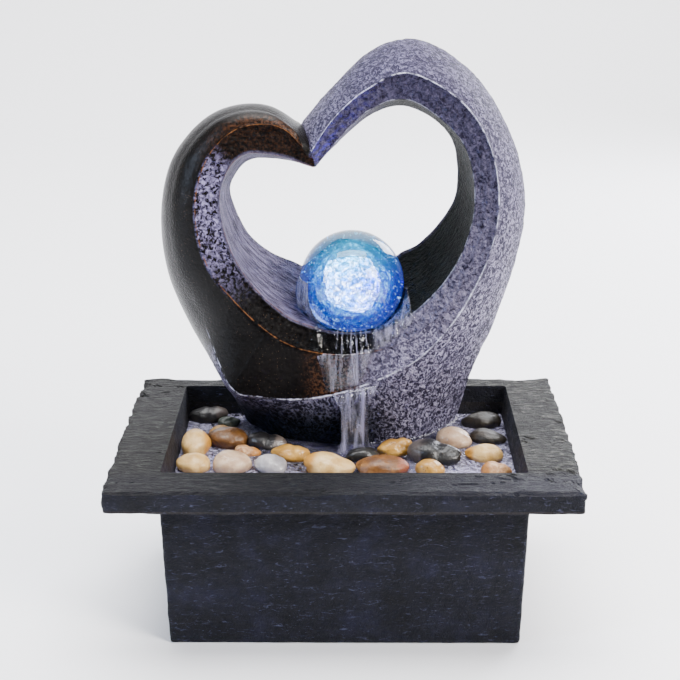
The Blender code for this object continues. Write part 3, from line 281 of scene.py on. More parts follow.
def slate_resin():
    """Cast resin taken from split slate, stained blue-black and dry-brushed: dull, with a grain along X."""
    material, shader, add = new_material("slate_cast_resin", specular_ior_level=0.16)
    place = add("TexCoord", out="Object")
    # cleavage runs along X: wavy grooves about 3.5 mm apart and 10 mm long
    grain = add("Mapping", {"Vector": place, "Scale": (95, 300, 250)})
    grooves = add("TexNoise", {"Vector": grain, "Scale": 1.0, "Detail": 8.0, "Roughness": 0.72,
                               "Distortion": 2.0})
    # the sides are crinkled without a direction, about 6 mm across, with clouds of stain 17 mm across
    crinkle = add("TexNoise", {"Vector": place, "Scale": 170.0, "Detail": 7.0, "Roughness": 0.7,
                               "Distortion": 2.2})
    mottle = add("TexNoise", {"Vector": place, "Scale": 60.0, "Detail": 6.0, "Roughness": 0.6})
    grit = add("TexNoise", {"Vector": place, "Scale": 1300.0, "Detail": 2.0})
    across, depth, height = add("SeparateXYZ", (place,)).node.outputs
    upward = add("SeparateXYZ", (add("NewGeometry", out="Normal"),), out="Z")
    top = add("MapRange", (upward, 0.45, 0.85))
    side_tone = add("ValToRGB", (mottle,), ramp=[(0.32, "090a11"), (0.52, "11121c"), (0.72, "1b1c2e")])
    top_tone = add("ValToRGB", (grooves,), ramp=[(0.34, "040404"), (0.46, "141413"), (0.56, "272724"),
                                                 (0.68, "66665e")])
    # the front of the rim took more of the blue stain than its ends and back
    front = add("MapRange", (depth, -0.046, -0.056))
    blue_top = add("Mix", (0.55, top_tone, "1c1c2c"), **COLOUR)
    top_tone = add("Mix", (front, top_tone, blue_top), **COLOUR)
    # painted shade: the top is painted darker towards the left end, where less light falls than on the right
    painted_light_share = add("MapRange", (across, 0.0, 0.085, 0.3))
    top_tone = add("Mix", (painted_light_share, "060606", top_tone), **COLOUR)
    tone = add("Mix", (top, side_tone, top_tone), **COLOUR)
    # raw brownish band left under the rim, where the stain ran thin
    band_foot, band_full, rim_foot = 0.0700, 0.0765, 0.0768
    under = add("MapRange", (height, band_foot, band_full))
    for limit in (add("Math", (height, rim_foot), operation="LESS_THAN"), mottle):
        under = add("Math", (under, limit), **TIMES)
    tone = add("Mix", (under, tone, "2c2723"), **COLOUR)
    # faint scuffs 7 mm long and under 2 mm wide at two slants, where the dry brush caught a nick
    on_face = add("Math", (1.0, top), operation="SUBTRACT")
    for slant, shift in ((42, 0.0), (-40, 3.7)):
        line = add("Mapping", {"Vector": place, "Rotation": (0, radians(slant), 0),
                               "Location": (shift, 0, shift), "Scale": (150, 620, 620)})
        scuff = add("TexNoise", {"Vector": line, "Scale": 1.0, "Detail": 3.0, "Roughness": 0.6,
                                 "Distortion": 1.8})
        caught = add("MapRange", (scuff, 0.62, 0.78, 0.0, 0.36))
        caught = add("Math", (caught, on_face), **TIMES)
        tone = add("Mix", (caught, tone, "6d7299"), **COLOUR)
    # pale specks of filler just under a millimetre apart
    speck = add("MapRange", (grit, 0.70, 0.78, 0.0, 0.4))
    tone = add("Mix", (speck, tone, "6f7088"), **COLOUR)
    relief = add("Mix", (top, crinkle, grooves))
    relief = add("Math", (grit, 0.3, relief), **TIMES_PLUS)
    bump = add("Bump", {"Height": relief, "Strength": 1.0, "Distance": 0.0028})
    rough = add("MapRange", (grooves, 0.3, 0.7, 0.72, 0.42))
    connect(shader, base_color=tone, normal=bump, roughness=rough)
    return material


def heart_finish():
    """One casting in two finishes: brown-black glaze with copper edges, and matt stippled stone grey."""
    material, shader, add = new_material("two_tone_cast_heart", specular_ior_level=0.03, coat_roughness=0.12)
    place = add("TexCoord", out="Object")
    mark = {name: add("Attribute", out="Fac", attribute_name=name)
            for name in ("gloss", "bevel", "copper", "pale", "shade", "brown", "inside", "run", "over",
                         "painted_sheen", "lip_copper", "lip_pale", "to_pale", "to_copper", "to_lip", "height")}
    # each noise: size in millimetres, then its detail, roughness and distortion
    kinds = {"worms": (1.8, 3.0, 0.5, 1.2), "drift": (26, 4.0, 0.55, 0.0), "bevel": (2.6, 6.0, 0.75, 1.0),
             "bloom": (1.3, 4.0, 0.7, 0.0), "groups": (7, 3.0, 0.6, 0.0), "rims": (1.9, 4.0, 0.65, 0.8),
             "breaks": (5, 4.0, 0.6, 0.0), "wander": (1.6, 4.0, 0.7, 0.0), "fine": (1.1, 2.0, 0.55, 0.0),
             "skin": (1.6, 3.0, 0.6, 0.0)}
    noise = {name: add("TexNoise", {"Vector": place, "Scale": 1000 / size_mm, "Detail": detail,
                                    "Roughness": roughness, "Distortion": distortion})
             for name, (size_mm, detail, roughness, distortion) in kinds.items()}
    # worm-like stipple of the stone side: pale ridges under 2 mm apart over slate grey, partly the stone's own
    # stipple and partly painted highlights on its bumps
    crest = add("MapRange", (noise["worms"], 0.45, 0.62))
    # painted light: the crests are painted paler low down and darker high up
    upward = add("MapRange", (mark["height"], 0.30, 0.95))
    pale_crest = add("Mix", (upward, "d0cae8", "57536f"), **COLOUR)
    pale_crest = add("Mix", (noise["drift"], "837da0", pale_crest), **COLOUR)
    light_stone = add("Mix", (crest, "383548", pale_crest), **COLOUR)
    dark_stone = add("Mix", (crest, "06080c", "252a38"), **COLOUR)
    # the inner wall is streaked along the way the water runs: streaks 1 mm wide and a centimetre long
    run = add("CombineXYZ", (mark["run"], mark["over"]))
    streaks = add("TexNoise", {"Vector": run, "Scale": 1.0, "Detail": 4.0, "Roughness": 0.6,
                               "Distortion": 0.8})
    streaks = add("MapRange", (streaks, 0.38, 0.64))
    wall_light = add("Mix", (streaks, "2e2a3c", "7b7492"), **COLOUR)
    wall_dark = add("Mix", (streaks, "070a09", "1d2120"), **COLOUR)
    light_stone = add("Mix", (mark["inside"], light_stone, wall_light), **COLOUR)
    dark_stone = add("Mix", (mark["inside"], dark_stone, wall_dark), **COLOUR)
    stone = add("Mix", (mark["shade"], light_stone, dark_stone), **COLOUR)
    # the bevel's stipple is broken finer and lies darker; as painted light it is paler low down and darker high
    # up
    bevel_painted_light = add("Mix", (upward, "8a849e", "45415a"), **COLOUR)
    bevel_crest = add("MapRange", (noise["bevel"], 0.38, 0.62))
    stone_bevel = add("Mix", (bevel_crest, "1e1b2a", bevel_painted_light), **COLOUR)
    stone = add("Mix", (mark["bevel"], stone, stone_bevel), **COLOUR)
    # the glaze: nearly black, with a bronze bloom and copper flecks under a millimetre
    patches = add("MapRange", (noise["drift"], 0.35, 0.65))
    glaze = add("Mix", (patches, "050404", "0f0d0c"), **COLOUR)
    bloom = add("MapRange", (noise["bloom"], 0.44, 0.70))
    bloom = add("Math", (mark["brown"], bloom), **TIMES)
    glaze = add("Mix", (bloom, glaze, "5c3a25"), **COLOUR)
    fleck = add("TexVoronoi", {"Vector": place, "Scale": 700.0})
    fleck = add("MapRange", (fleck, 0.18, 0.06, 0.0, 0.6))
    grouped = add("MapRange", (noise["groups"], 0.42, 0.58))
    fleck = add("Math", (fleck, grouped), **TIMES)
    glaze = add("Mix", (fleck, glaze, "5d4a38"), **COLOUR)
    # painted sheen: high up, the glazed bevel is painted lavender on the pits' rims that stand proud
    rims = add("MapRange", (noise["rims"], 0.44, 0.62))
    rims = add("Math", (rims, mark["painted_sheen"]), **TIMES)
    glaze = add("Mix", (rims, glaze, "8a82ac"), **COLOUR)
    tone = add("Mix", (mark["gloss"], stone, glaze), **COLOUR)
    # rubbed edges: lines about a millimetre wide that swell, thin out and break
    broken = add("MapRange", (noise["breaks"], 0.40, 0.56))
    for colour, wide, distance, presence in (("744a2a", 0.6, "to_copper", "copper"),
                                             ("744a2a", 0.6, "to_lip", "lip_copper"),
                                             ("d8d8f2", 1.0, "to_pale", "pale"),
                                             ("d8d8f2", 1.0, "to_lip", "lip_pale")):
        uneven = add("Math", (noise["wander"], 1.5 * wide, mark[distance]), **TIMES_PLUS)
        line = add("MapRange", (uneven, 1.35 * wide, 0.85 * wide))
        for limit in (mark[presence], broken):
            line = add("Math", (line, limit), **TIMES)
        tone = add("Mix", (line, tone, linear(colour)), **COLOUR)
    # pits of the glazed bevel, 2 mm across, and the worms in relief
    pits = add("TexVoronoi", {"Vector": place, "Scale": 480.0}, feature="SMOOTH_F1")
    pits = add("Math", (pits, mark["bevel"]), **TIMES)
    matt = add("Math", (1.0, mark["gloss"]), operation="SUBTRACT")
    relief = add("Math", (matt, noise["worms"], pits), **TIMES_PLUS)
    relief = add("Math", (noise["fine"], 0.12, relief), **TIMES_PLUS)
    bump = add("Bump", {"Height": relief, "Strength": 1.0, "Distance": 0.0030})
    rough = add("MapRange", (mark["gloss"], 0.0, 1.0, 0.46, 0.30))
    # the glaze lies thinner on the pitted bevel
    coat = add("MapRange", (mark["bevel"], 0.0, 1.0, 0.19, 0.03))
    coat = add("Math", (mark["gloss"], coat), **TIMES)
    skin = add("Bump", {"Height": noise["skin"], "Strength": 0.6, "Distance": 0.0008})
    connect(shader, base_color=tone, normal=bump, roughness=rough, coat_weight=coat, coat_normal=skin)
    return material


def polished_stone(name, dark, mid, light, speckle, grain_mm=5.0, band=0.0, other=None):
    """Tumbled pebble, wet: soft mottling of its mineral colours, some in two tones, under a clear shine."""
    material, shader, add = new_material(name, roughness=0.42, specular_ior_level=0.30, coat_weight=0.36,
                                         coat_roughness=0.10)
    place = add("TexCoord", out="Object")
    mottle = add("TexNoise", {"Vector": place, "Scale": 1000 / grain_mm / 1.6, "Detail": 6.0,
                              "Roughness": 0.62, "Distortion": 0.5 + band * 3})
    tone = add("ValToRGB", (mottle,), ramp=[(0.28, dark), (0.50, mid), (0.72, light)])
    if other:
        lobe = add("Attribute", out="Fac", attribute_name="lobe")
        lobe = add("Math", (mottle, 0.8, lobe), **TIMES_PLUS)
        second = add("MapRange", (lobe, 0.78, 0.98))
        tone = add("Mix", (second, tone, other), **COLOUR)
    # pores a third of a millimetre across, drawn 1.6 mm apart so that they show, in groups of 7 mm
    pore = add("TexVoronoi", {"Vector": place, "Scale": 620.0})
    pore = add("MapRange", (pore, 0.22, 0.12))
    grouped = add("TexNoise", {"Vector": place, "Scale": 150.0})
    grouped = add("MapRange", (grouped, 0.50, 0.66))
    speck = add("Math", (pore, grouped), **TIMES)
    tone = add("Mix", (speck, tone, speckle), **COLOUR)
    fine = add("TexNoise", {"Vector": place, "Scale": 900.0, "Detail": 2.0})
    uneven = add("Math", (mottle, 3.0, fine), **TIMES_PLUS)
    bump = add("Bump", {"Height": uneven, "Strength": 0.35, "Distance": 0.0006})
    connect(shader, base_color=tone, normal=bump, coat_normal=bump)
    return material


def rippled_clear(name, tint, ripple_mm, strength, detail=3.0, distortion=1.0, roughness=0.03, ior=1.33):
    """Clear glass or water with a wavy polished skin: it bends what lies behind it."""
    material, shader, add = new_material(name, base_color=tint, roughness=roughness, ior=ior,
                                         transmission_weight=1.0)
    place = add("TexCoord", out="Object")
    ripple = add("TexNoise", {"Vector": place, "Scale": 1000 / ripple_mm, "Detail": detail,
                              "Distortion": distortion})
    bump = add("Bump", {"Height": ripple, "Strength": strength, "Distance": 0.001})
    connect(shader, normal=bump)
    return material


def lit_crackle(name, inner, outer, strength, cover, grain_mm):
    """Crackle in the light from below, as painted glow: a broken veil with glowing cracks, greener high up, bluer
    at the sides.
    """
    material, shader, add = new_material(name, base_color="010206", roughness=0.9, specular_ior_level=0.0,
                                         emission_strength=strength)
    place = add("TexCoord", out="Object")
    away = add("VectorMath", (place, tuple(BALL)), operation="SUBTRACT")
    sideways, _, upward = add("SeparateXYZ", (away,)).node.outputs
    flicker = add("TexNoise", {"Vector": place, "Scale": 1000 / grain_mm, "Detail": 4.0, "Roughness": 0.65,
                               "Distortion": 0.8})
    crack = add("MapRange", (flicker, 0.47, 0.60))
    side = add("MapRange", (sideways, -0.012, 0.012))
    high = add("MapRange", (upward, 0.003, 0.017, 0.0, 0.75))
    ground = add("Mix", (side, outer, "2614d8"), **COLOUR)
    ground = add("Mix", (high, ground, "18c4f0"), **COLOUR)
    tone = add("Mix", (crack, ground, inner), **COLOUR)
    tone = add("Mix", (high, tone, "28f0e8"), **COLOUR)
    seen = add("MapRange", (crack, 0.0, 1.0, cover, max(cover, 0.72)))
    connect(shader, emission_color=tone, alpha=seen)
    return material


def tray_surface():
    """Water stirred between the stones: clear and dark under the fall, and round it pale lavender painted light
    from above on 3 mm ripples.
    """
    material, shader, add = new_material("stirred_tray_water", roughness=0.05, ior=1.33)
    place = add("TexCoord", out="Object")
    ripple = add("TexNoise", {"Vector": place, "Scale": 330.0, "Detail": 5.0, "Roughness": 0.7,
                              "Distortion": 1.6})
    crest = add("MapRange", (ripple, 0.44, 0.62))
    off = add("VectorMath", (place, (0.002, 0.02, 0.0)), operation="SUBTRACT")
    off = add("VectorMath", (off, (1.0, 1.5, 0.0)), **TIMES)
    off = add("VectorMath", (off,), operation="LENGTH")
    spread = add("MapRange", (off, 0.040, 0.075, 0.12, 0.9))
    # painted light: pale lavender glints of the light from above on the ripple crests round the fall
    painted_glints = add("Math", (crest, spread), **TIMES)
    clear = add("Math", (1.0, painted_glints), operation="SUBTRACT")
    tone = add("Mix", (painted_glints, "dcdaf0", "b4aedb"), **COLOUR)
    bump = add("Bump", {"Height": ripple, "Strength": 0.7, "Distance": 0.0012})
    connect(shader, base_color=tone, transmission_weight=clear, normal=bump)
    return material


def flowing_water():
    """Falling water: clear between its strands, 2 to 5 mm apart, and broken white along them; on the swell by the
    ball the white stands for painted highlights.
    """
    material, shader, add = new_material("falling_water", roughness=0.07, ior=1.33)
    run = add("Mapping", {"Vector": add("TexCoord", out="Object"), "Scale": (430, 220, 40)})
    strand = add("TexNoise", {"Vector": run, "Scale": 1.0, "Detail": 4.0, "Roughness": 0.65,
                              "Distortion": 0.5})
    white = add("MapRange", (strand, 0.44, 0.72))
    clear = add("MapRange", (white, 0.0, 1.0, 0.98, 0.55))
    tone = add("Mix", (white, "e6e4f4", "b3add8"), **COLOUR)
    bump = add("Bump", {"Height": strand, "Strength": 0.4, "Distance": 0.0008})
    connect(shader, base_color=tone, transmission_weight=clear, normal=bump)
    return material


def white_froth():
    """Froth of tiny bubbles: half clear, cloudy white where the bubbles crowd, 1.4 mm apart."""
    material, shader, add = new_material("white_froth", roughness=0.15, ior=1.33, transmission_weight=0.35)
    film = add("TexNoise", {"Vector": add("TexCoord", out="Object"), "Scale": 700.0, "Detail": 3.0})
    tone = add("Mix", (film, "c9c8e2", "f4f4fb"), **COLOUR)
    connect(shader, base_color=tone)
    return material


def moulded(name, colour, roughness, metallic=0.0):
    """Moulded plastic, rubber or plain metal: a fine even grain, drawn 0.9 mm apart so that it shows."""
    material, shader, add = new_material(name, metallic=metallic)
    fine = add("TexNoise", {"Vector": add("TexCoord", out="Object"), "Scale": 1100.0, "Detail": 3.0})
    tone = add("MapRange", (fine, 0.0, 1.0, 0.82, 1.18))
    tone = add("VectorMath", (linear(colour)[:3], tone), operation="SCALE")
    rough = add("MapRange", (fine, 0.0, 1.0, roughness - 0.06, roughness + 0.06))
    bump = add("Bump", {"Height": fine, "Strength": 0.3, "Distance": 0.0003})
    connect(shader, base_color=tone, roughness=rough, normal=bump)
    return material


# ------------------------------------------------------------------ basin

SIDE_FLANGE, FRONT_FLANGE, BACK_FLANGE = 22.6 * MM, 22.6 * MM, 11.4 * MM
RIM_THICKNESS = 9.0 * MM
INNER_DRAFT, BODY_DRAFT = 0.13, 0.030
BODY_WALL, FRONT_WALL = 2.1 * MM, 3.8 * MM
LEDGE = 4.0 * MM
FLOOR_TOP = 5.8 * MM
SIDE_POINTS, END_POINTS, CORNER_POINTS = 166, 115, 5
CORNER_RADIUS = 1.6 * MM


def rectangle_loop(half_x, front, back, z, radius=CORNER_RADIUS):
    """Points round a rectangle with round corners, the same number on each side at any size."""
    corners = [(half_x - radius, front + radius, -90), (half_x - radius, back - radius, 0),
               (radius - half_x, back - radius, 90), (radius - half_x, front + radius, 180)]
    loop = []
    for k, (x, y, start) in enumerate(corners):
        for step in range(CORNER_POINTS):
            angle = radians(start + 90 * step / (CORNER_POINTS - 1))
            loop.append((x + radius * cos(angle), y + radius * sin(angle), z))
        next_x, next_y, turn = corners[(k + 1) % 4]
        angle = radians(turn)
        end = np.array((next_x + radius * cos(angle), next_y + radius * sin(angle), z))
        count = END_POINTS if k % 2 == 0 else SIDE_POINTS
        begin = np.array(loop[-1])
        loop += [tuple(begin + (end - begin) * s / count) for s in range(1, count)]
    return np.array(loop)


def basin_rings():
    """Rings from the middle of the underside, up the outside, over the rim and down inside to the floor."""
    half_x, half_y = RIM_HIGH.x, RIM_HIGH.y
    top, body_top, base = RIM_HIGH.z, RIM_HIGH.z - RIM_THICKNESS, RIM_LOW.z
    middle = (FRONT_FLANGE - BACK_FLANGE) / 2
    core = (4 * MM, middle - 3 * MM, middle + 3 * MM)

    def opening(z, inset=0.0):
        slope = (top - z) * INNER_DRAFT + inset
        return half_x - SIDE_FLANGE - slope, FRONT_FLANGE - half_y + slope, half_y - BACK_FLANGE - slope

    def body(z):
        x, front, back = opening(body_top)
        taper = (body_top - z) * BODY_DRAFT
        return x + BODY_WALL - taper, front - FRONT_WALL + taper, back + FRONT_WALL - taper

    outside = (half_x, -half_y, half_y)
    ledge_top = DECK_LOW.z - 0.3 * MM
    reservoir = opening(ledge_top, LEDGE)
    stations = [(core, base, 1, "under"), (body(base), base, 6, "under"),
                (body(body_top), body_top, 60, "body"), (outside, body_top, 14, "under_rim"),
                (outside, top, 10, "edge"), (opening(top), top, 22, "rim"),
                (opening(ledge_top), ledge_top, 14, "inner"), (reservoir, ledge_top, 2, "inner"),
                (reservoir, FLOOR_TOP, 6, "inner"), (core, FLOOR_TOP, 5, "inner")]
    rings, zones = [], []
    for (low, z0, _, _), (high, z1, count, zone) in zip(stations, stations[1:]):
        for s in range(count):
            t = s / count
            sides = [a + (b - a) * t for a, b in zip(low, high)]
            rings.append(rectangle_loop(*sides, z0 + (z1 - z0) * t))
            zones.append(zone)
    sides, z, _, zone = stations[-1]
    rings.append(rectangle_loop(*sides, z))
    zones.append(zone)
    return np.array(rings), zones


def make_basin(material):
    grid, zones = basin_rings()
    rows, columns, _ = grid.shape
    points = grid.reshape(-1, 3)
    normals = -point_normals(grid, False, True).reshape(-1, 3)
    zone = np.repeat(np.array(zones), columns)
    # layers that split off along X: long low steps and grooves
    layers = fractal_noise(points, (34 * MM, 5.5 * MM, 5.0 * MM), 11, 4)
    steps = 0.55 * np.round(layers * 4) / 4 + 0.45 * layers
    broad = fractal_noise(points, 30 * MM, 23, 3)
    sharp = np.abs(fractal_noise(points, (16 * MM, 9 * MM, 7 * MM), 37, 4))
    # how deep the relief is on each part of the casting, in millimetres
    depth = {"under": 0.0, "inner": 0.10, "body": 0.45, "under_rim": 0.4, "edge": 0.9, "rim": 1.5}
    amount = np.repeat([depth[z] for z in zones], columns) * MM
    relief = (0.6 * steps + 0.4 * broad - 0.9 * sharp) * amount - 0.3 * amount
    points = points + normals * relief[:, None]
    # the rim's outer edge is chipped a millimetre deep, in bites a few millimetres long
    rim_height = np.clip((points[:, 2] - (RIM_HIGH.z - RIM_THICKNESS - 1 * MM)) / RIM_THICKNESS, 0, 1)
    chip = np.clip(fractal_noise(points * (1, 1, 0.35), 15 * MM, 51, 4) + 0.12, 0, 1)
    nib = np.clip(fractal_noise(points, 5 * MM, 57, 3), 0, 1)
    from_end = RIM_HIGH.x - np.abs(points[:, 0])
    from_front = RIM_HIGH.y - np.abs(points[:, 1])
    bite = (0.9 * chip + 0.6 * nib) * MM * (rim_height > 0.02)
    bite_x = bite * (1 - smooth_step(0, 9 * MM, from_end))
    bite_y = bite * (1 - smooth_step(0, 6 * MM, from_front)) * (0.35 + 0.65 * rim_height)
    points[:, 0] -= np.sign(points[:, 0]) * bite_x
    points[:, 1] -= np.sign(points[:, 1]) * bite_y
    worn = (1 - smooth_step(0, 3.5 * MM, np.minimum(from_end, from_front))) * (rim_height > 0.9)
    points[:, 2] -= worn * (0.9 + 0.9 * chip + 0.6 * broad) * MM
    # short cracks a millimetre deep cut across the top of the rim
    crack = np.abs(fractal_noise(points, (40 * MM, 8 * MM, 50 * MM), 71, 3)) < 0.018
    along = fractal_noise(points, 12 * MM, 73, 2) > 0.22
    points[:, 2] -= (zone == "rim") * crack * along * 1.1 * MM
    points[:, 2] = np.minimum(points[:, 2], RIM_HIGH.z)
    piece = mesh_piece("slate_basin", points, capped_faces(rows, columns), material)
    piece.data.set_sharp_from_angle(angle=radians(50))
    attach(piece, "basin")
    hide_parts("basin")


# ------------------------------------------------------------------ heart sculpture

# Outlines of the heart in millimetres, clockwise from the notch, as (x, height above the deck line)
SILHOUETTE = [(-21, 154.5), (-5, 172.5), (13, 189), (35, 193.5), (60.5, 177.5), (79, 148.5), (86.5, 117.5),
              (83, 87.5), (73.5, 56.5), (63, 30.5), None, None, None, None, None, (-59.5, 27.5),
              (-75.5, 52.5), (-86, 82.5), (-87.5, 112.5), (-80.5, 138.5), (-62, 158), (-38.5, 162)]
PALE_RIDGE = [(-15, 147.5), (-5, 162), (10, 175), (29, 182.3), (53, 169.5), (66.5, 149), (71, 122.5),
              (66.5, 97.5), (54, 71.5), (38, 52), (27, 44.5), (12, 37.5), (-4, 32), (-22, 29.2),
              (-40, 30.3), (-54.5, 35.5), None, None, None, None, None, None]
COPPER_RIDGE = [None, None, None, None, None, None, None, None, (49.5, 76), (36, 63.5), (26, 57), (14, 53),
                (2, 51.5), (-10, 51.8), (-24, 55.2), (-37, 63), (-52, 77.5), (-64.5, 95.5), (-69, 120.5),
                (-63, 143.5), (-48.5, 157.5), (-29, 158)]
FRONT_LIP = [(-13.7, 138.5), (-5, 149), (11, 164.5), (28.7, 169.5), (47, 158), (57, 143.5), (60, 120.5),
             (54.5, 98.5), (44, 81.5), (31.5, 69.5), (21, 63), (11, 60.7), (2, 60.3), (-8, 61),
             (-19, 64.5), (-29, 69.5), (-43.5, 83.5), (-53.5, 100.5), (-58, 121.5), (-54, 137),
             (-45, 145), (-28, 143.5)]
BACK_LIP = [(-14.6, 131.5), (-7, 140.5), (12, 157), (28, 161.5), (44, 154), (52.5, 141.5), (53.5, 118.5),
            (45, 103.5), (35, 93.5), (26, 88.5), (18, 79.5), (10, 69.5), (3, 65.5), (-5, 68.5), (-14, 77.5),
            (-24, 84), (-37, 90), (-48, 100), (-55.5, 118.5), (-53, 129), (-44.5, 136), (-28, 135.5)]
FOOT_ANGLES = [12, 48, 90, 132, 168]
FOOT_CENTRE_X, FOOT_HALF_WIDTH, FOOT_REACH = 2.5, 52.0, 37.0
STEPS_ALONG = 28
FAR_AWAY = 99.0
HEART_TALL = 194
# how many faces lie between one outline and the next, and how far they bulge on the stone and glazed limbs
BANDS = [("outer", 17, 2.2, 2.4), ("front", 14, -0.5, 2.0), ("bevel", 9, -0.5, -0.9),
         ("inner", 17, -1.6, -1.6), ("back", 7, 1.5, 1.5), ("back", 7, 2.0, 2.0), ("back", 6, 0.8, 0.8)]


def ridge_y(height_mm):
    """How far in front of the back face the ridges stand, as a world Y in millimetres."""
    share = min(max((height_mm - 37.5) / 155.0, 0.0), 1.0)
    return HEART_BACK / MM - 48.0 + 10.0 * share


def heart_sections():
    """Cross-sections round the heart as the model has them, in millimetres above the deck."""
    back_y = HEART_BACK / MM
    foot = iter(FOOT_ANGLES)
    sections = []
    for a, w, e, c, d in zip(SILHOUETTE, PALE_RIDGE, COPPER_RIDGE, FRONT_LIP, BACK_LIP):
        lip = np.array((c[0], ridge_y(c[1]) + 5.5, c[1]))
        back_lip = np.array((d[0], back_y - 3.5, d[1]))
        if a is None:
            angle = radians(next(foot))
            outer = np.array((FOOT_CENTRE_X + FOOT_HALF_WIDTH * cos(angle),
                              back_y - 1 - FOOT_REACH * sin(angle), 0.0))
            back = np.array(((outer[0] + back_lip[0]) / 2, back_y, back_lip[2] / 2))
            heel = np.array((outer[0], back_y - 1, 0.0))
        else:
            outer = np.array((a[0], back_y - 10, a[1]))
            back = outer + (back_lip - outer) * 0.45
            back[1] = back_y
            heel = outer + (back_lip - outer) * 0.15
            heel[1] = back_y - 3
        if w is None:
            ridge = np.array((e[0], ridge_y(e[1]), e[1]))
            middle = (outer + ridge) / 2
            outward = np.array((middle[0] - 3, 0, middle[2] - 97.5))
            middle += outward / np.linalg.norm(outward) * 4
            middle[1] = ridge[1] + (outer[1] - ridge[1]) * 0.28
        else:
            middle = np.array((w[0], ridge_y(w[1]), w[1]))
            ridge = np.array((e[0], ridge_y(e[1]), e[1])) if e else (middle + lip) / 2
        sections.append([outer, middle, ridge, lip, back_lip, back, heel])
    return np.array(sections)


def smooth_round(points, steps):
    """Catmull-Rom curve round to the first point again, with a corner there."""
    ring = np.vstack([points, points[:1]])
    padded = np.vstack([2 * ring[0] - ring[1], ring, 2 * ring[-1] - ring[-2]])
    line = []
    for p0, p1, p2, p3 in zip(padded, padded[1:], padded[2:], padded[3:]):
        for s in range(steps):
            t = s / steps
            line.append(0.5 * (2 * p1 + (p2 - p0) * t + (2 * p0 - 5 * p1 + 4 * p2 - p3) * t * t
                               + (3 * p1 - p0 - 3 * p2 + p3) * t ** 3))
    return np.array(line)


def heart_grid():
    """The heart's skin as a grid, with its station, its band and how far each point is across the band."""
    sections = heart_sections()
    lines = np.stack([smooth_round(sections[:, k], STEPS_ALONG) for k in range(7)], axis=1)
    lines[:, :, 2] = np.maximum(lines[:, :, 2], 0)
    stations = np.arange(len(lines)) / STEPS_ALONG
    along = np.roll(lines, -1, 0) - np.roll(lines, 1, 0)
    left = smooth_step(13.5, 16, stations)[:, None, None]
    rows, bands, shares = [], [], []
    for k, (band, count, stone_bulge, glaze_bulge) in enumerate(BANDS):
        here, there = lines[:, k], lines[:, (k + 1) % 7]
        across = there - here
        normal = np.cross(across, along[:, k] + along[:, (k + 1) % 7])
        normal /= np.maximum(np.linalg.norm(normal, axis=1, keepdims=True), 1e-9)
        bulge = stone_bulge + (glaze_bulge - stone_bulge) * left[:, :, 0]
        for s in range(count):
            t = s / count
            rows.append(here + across * t + normal * bulge * 4 * t * (1 - t))
            bands.append(k)
            shares.append(t)
    grid = np.stack(rows, axis=1)
    return grid, stations, np.array(bands), np.array(shares)


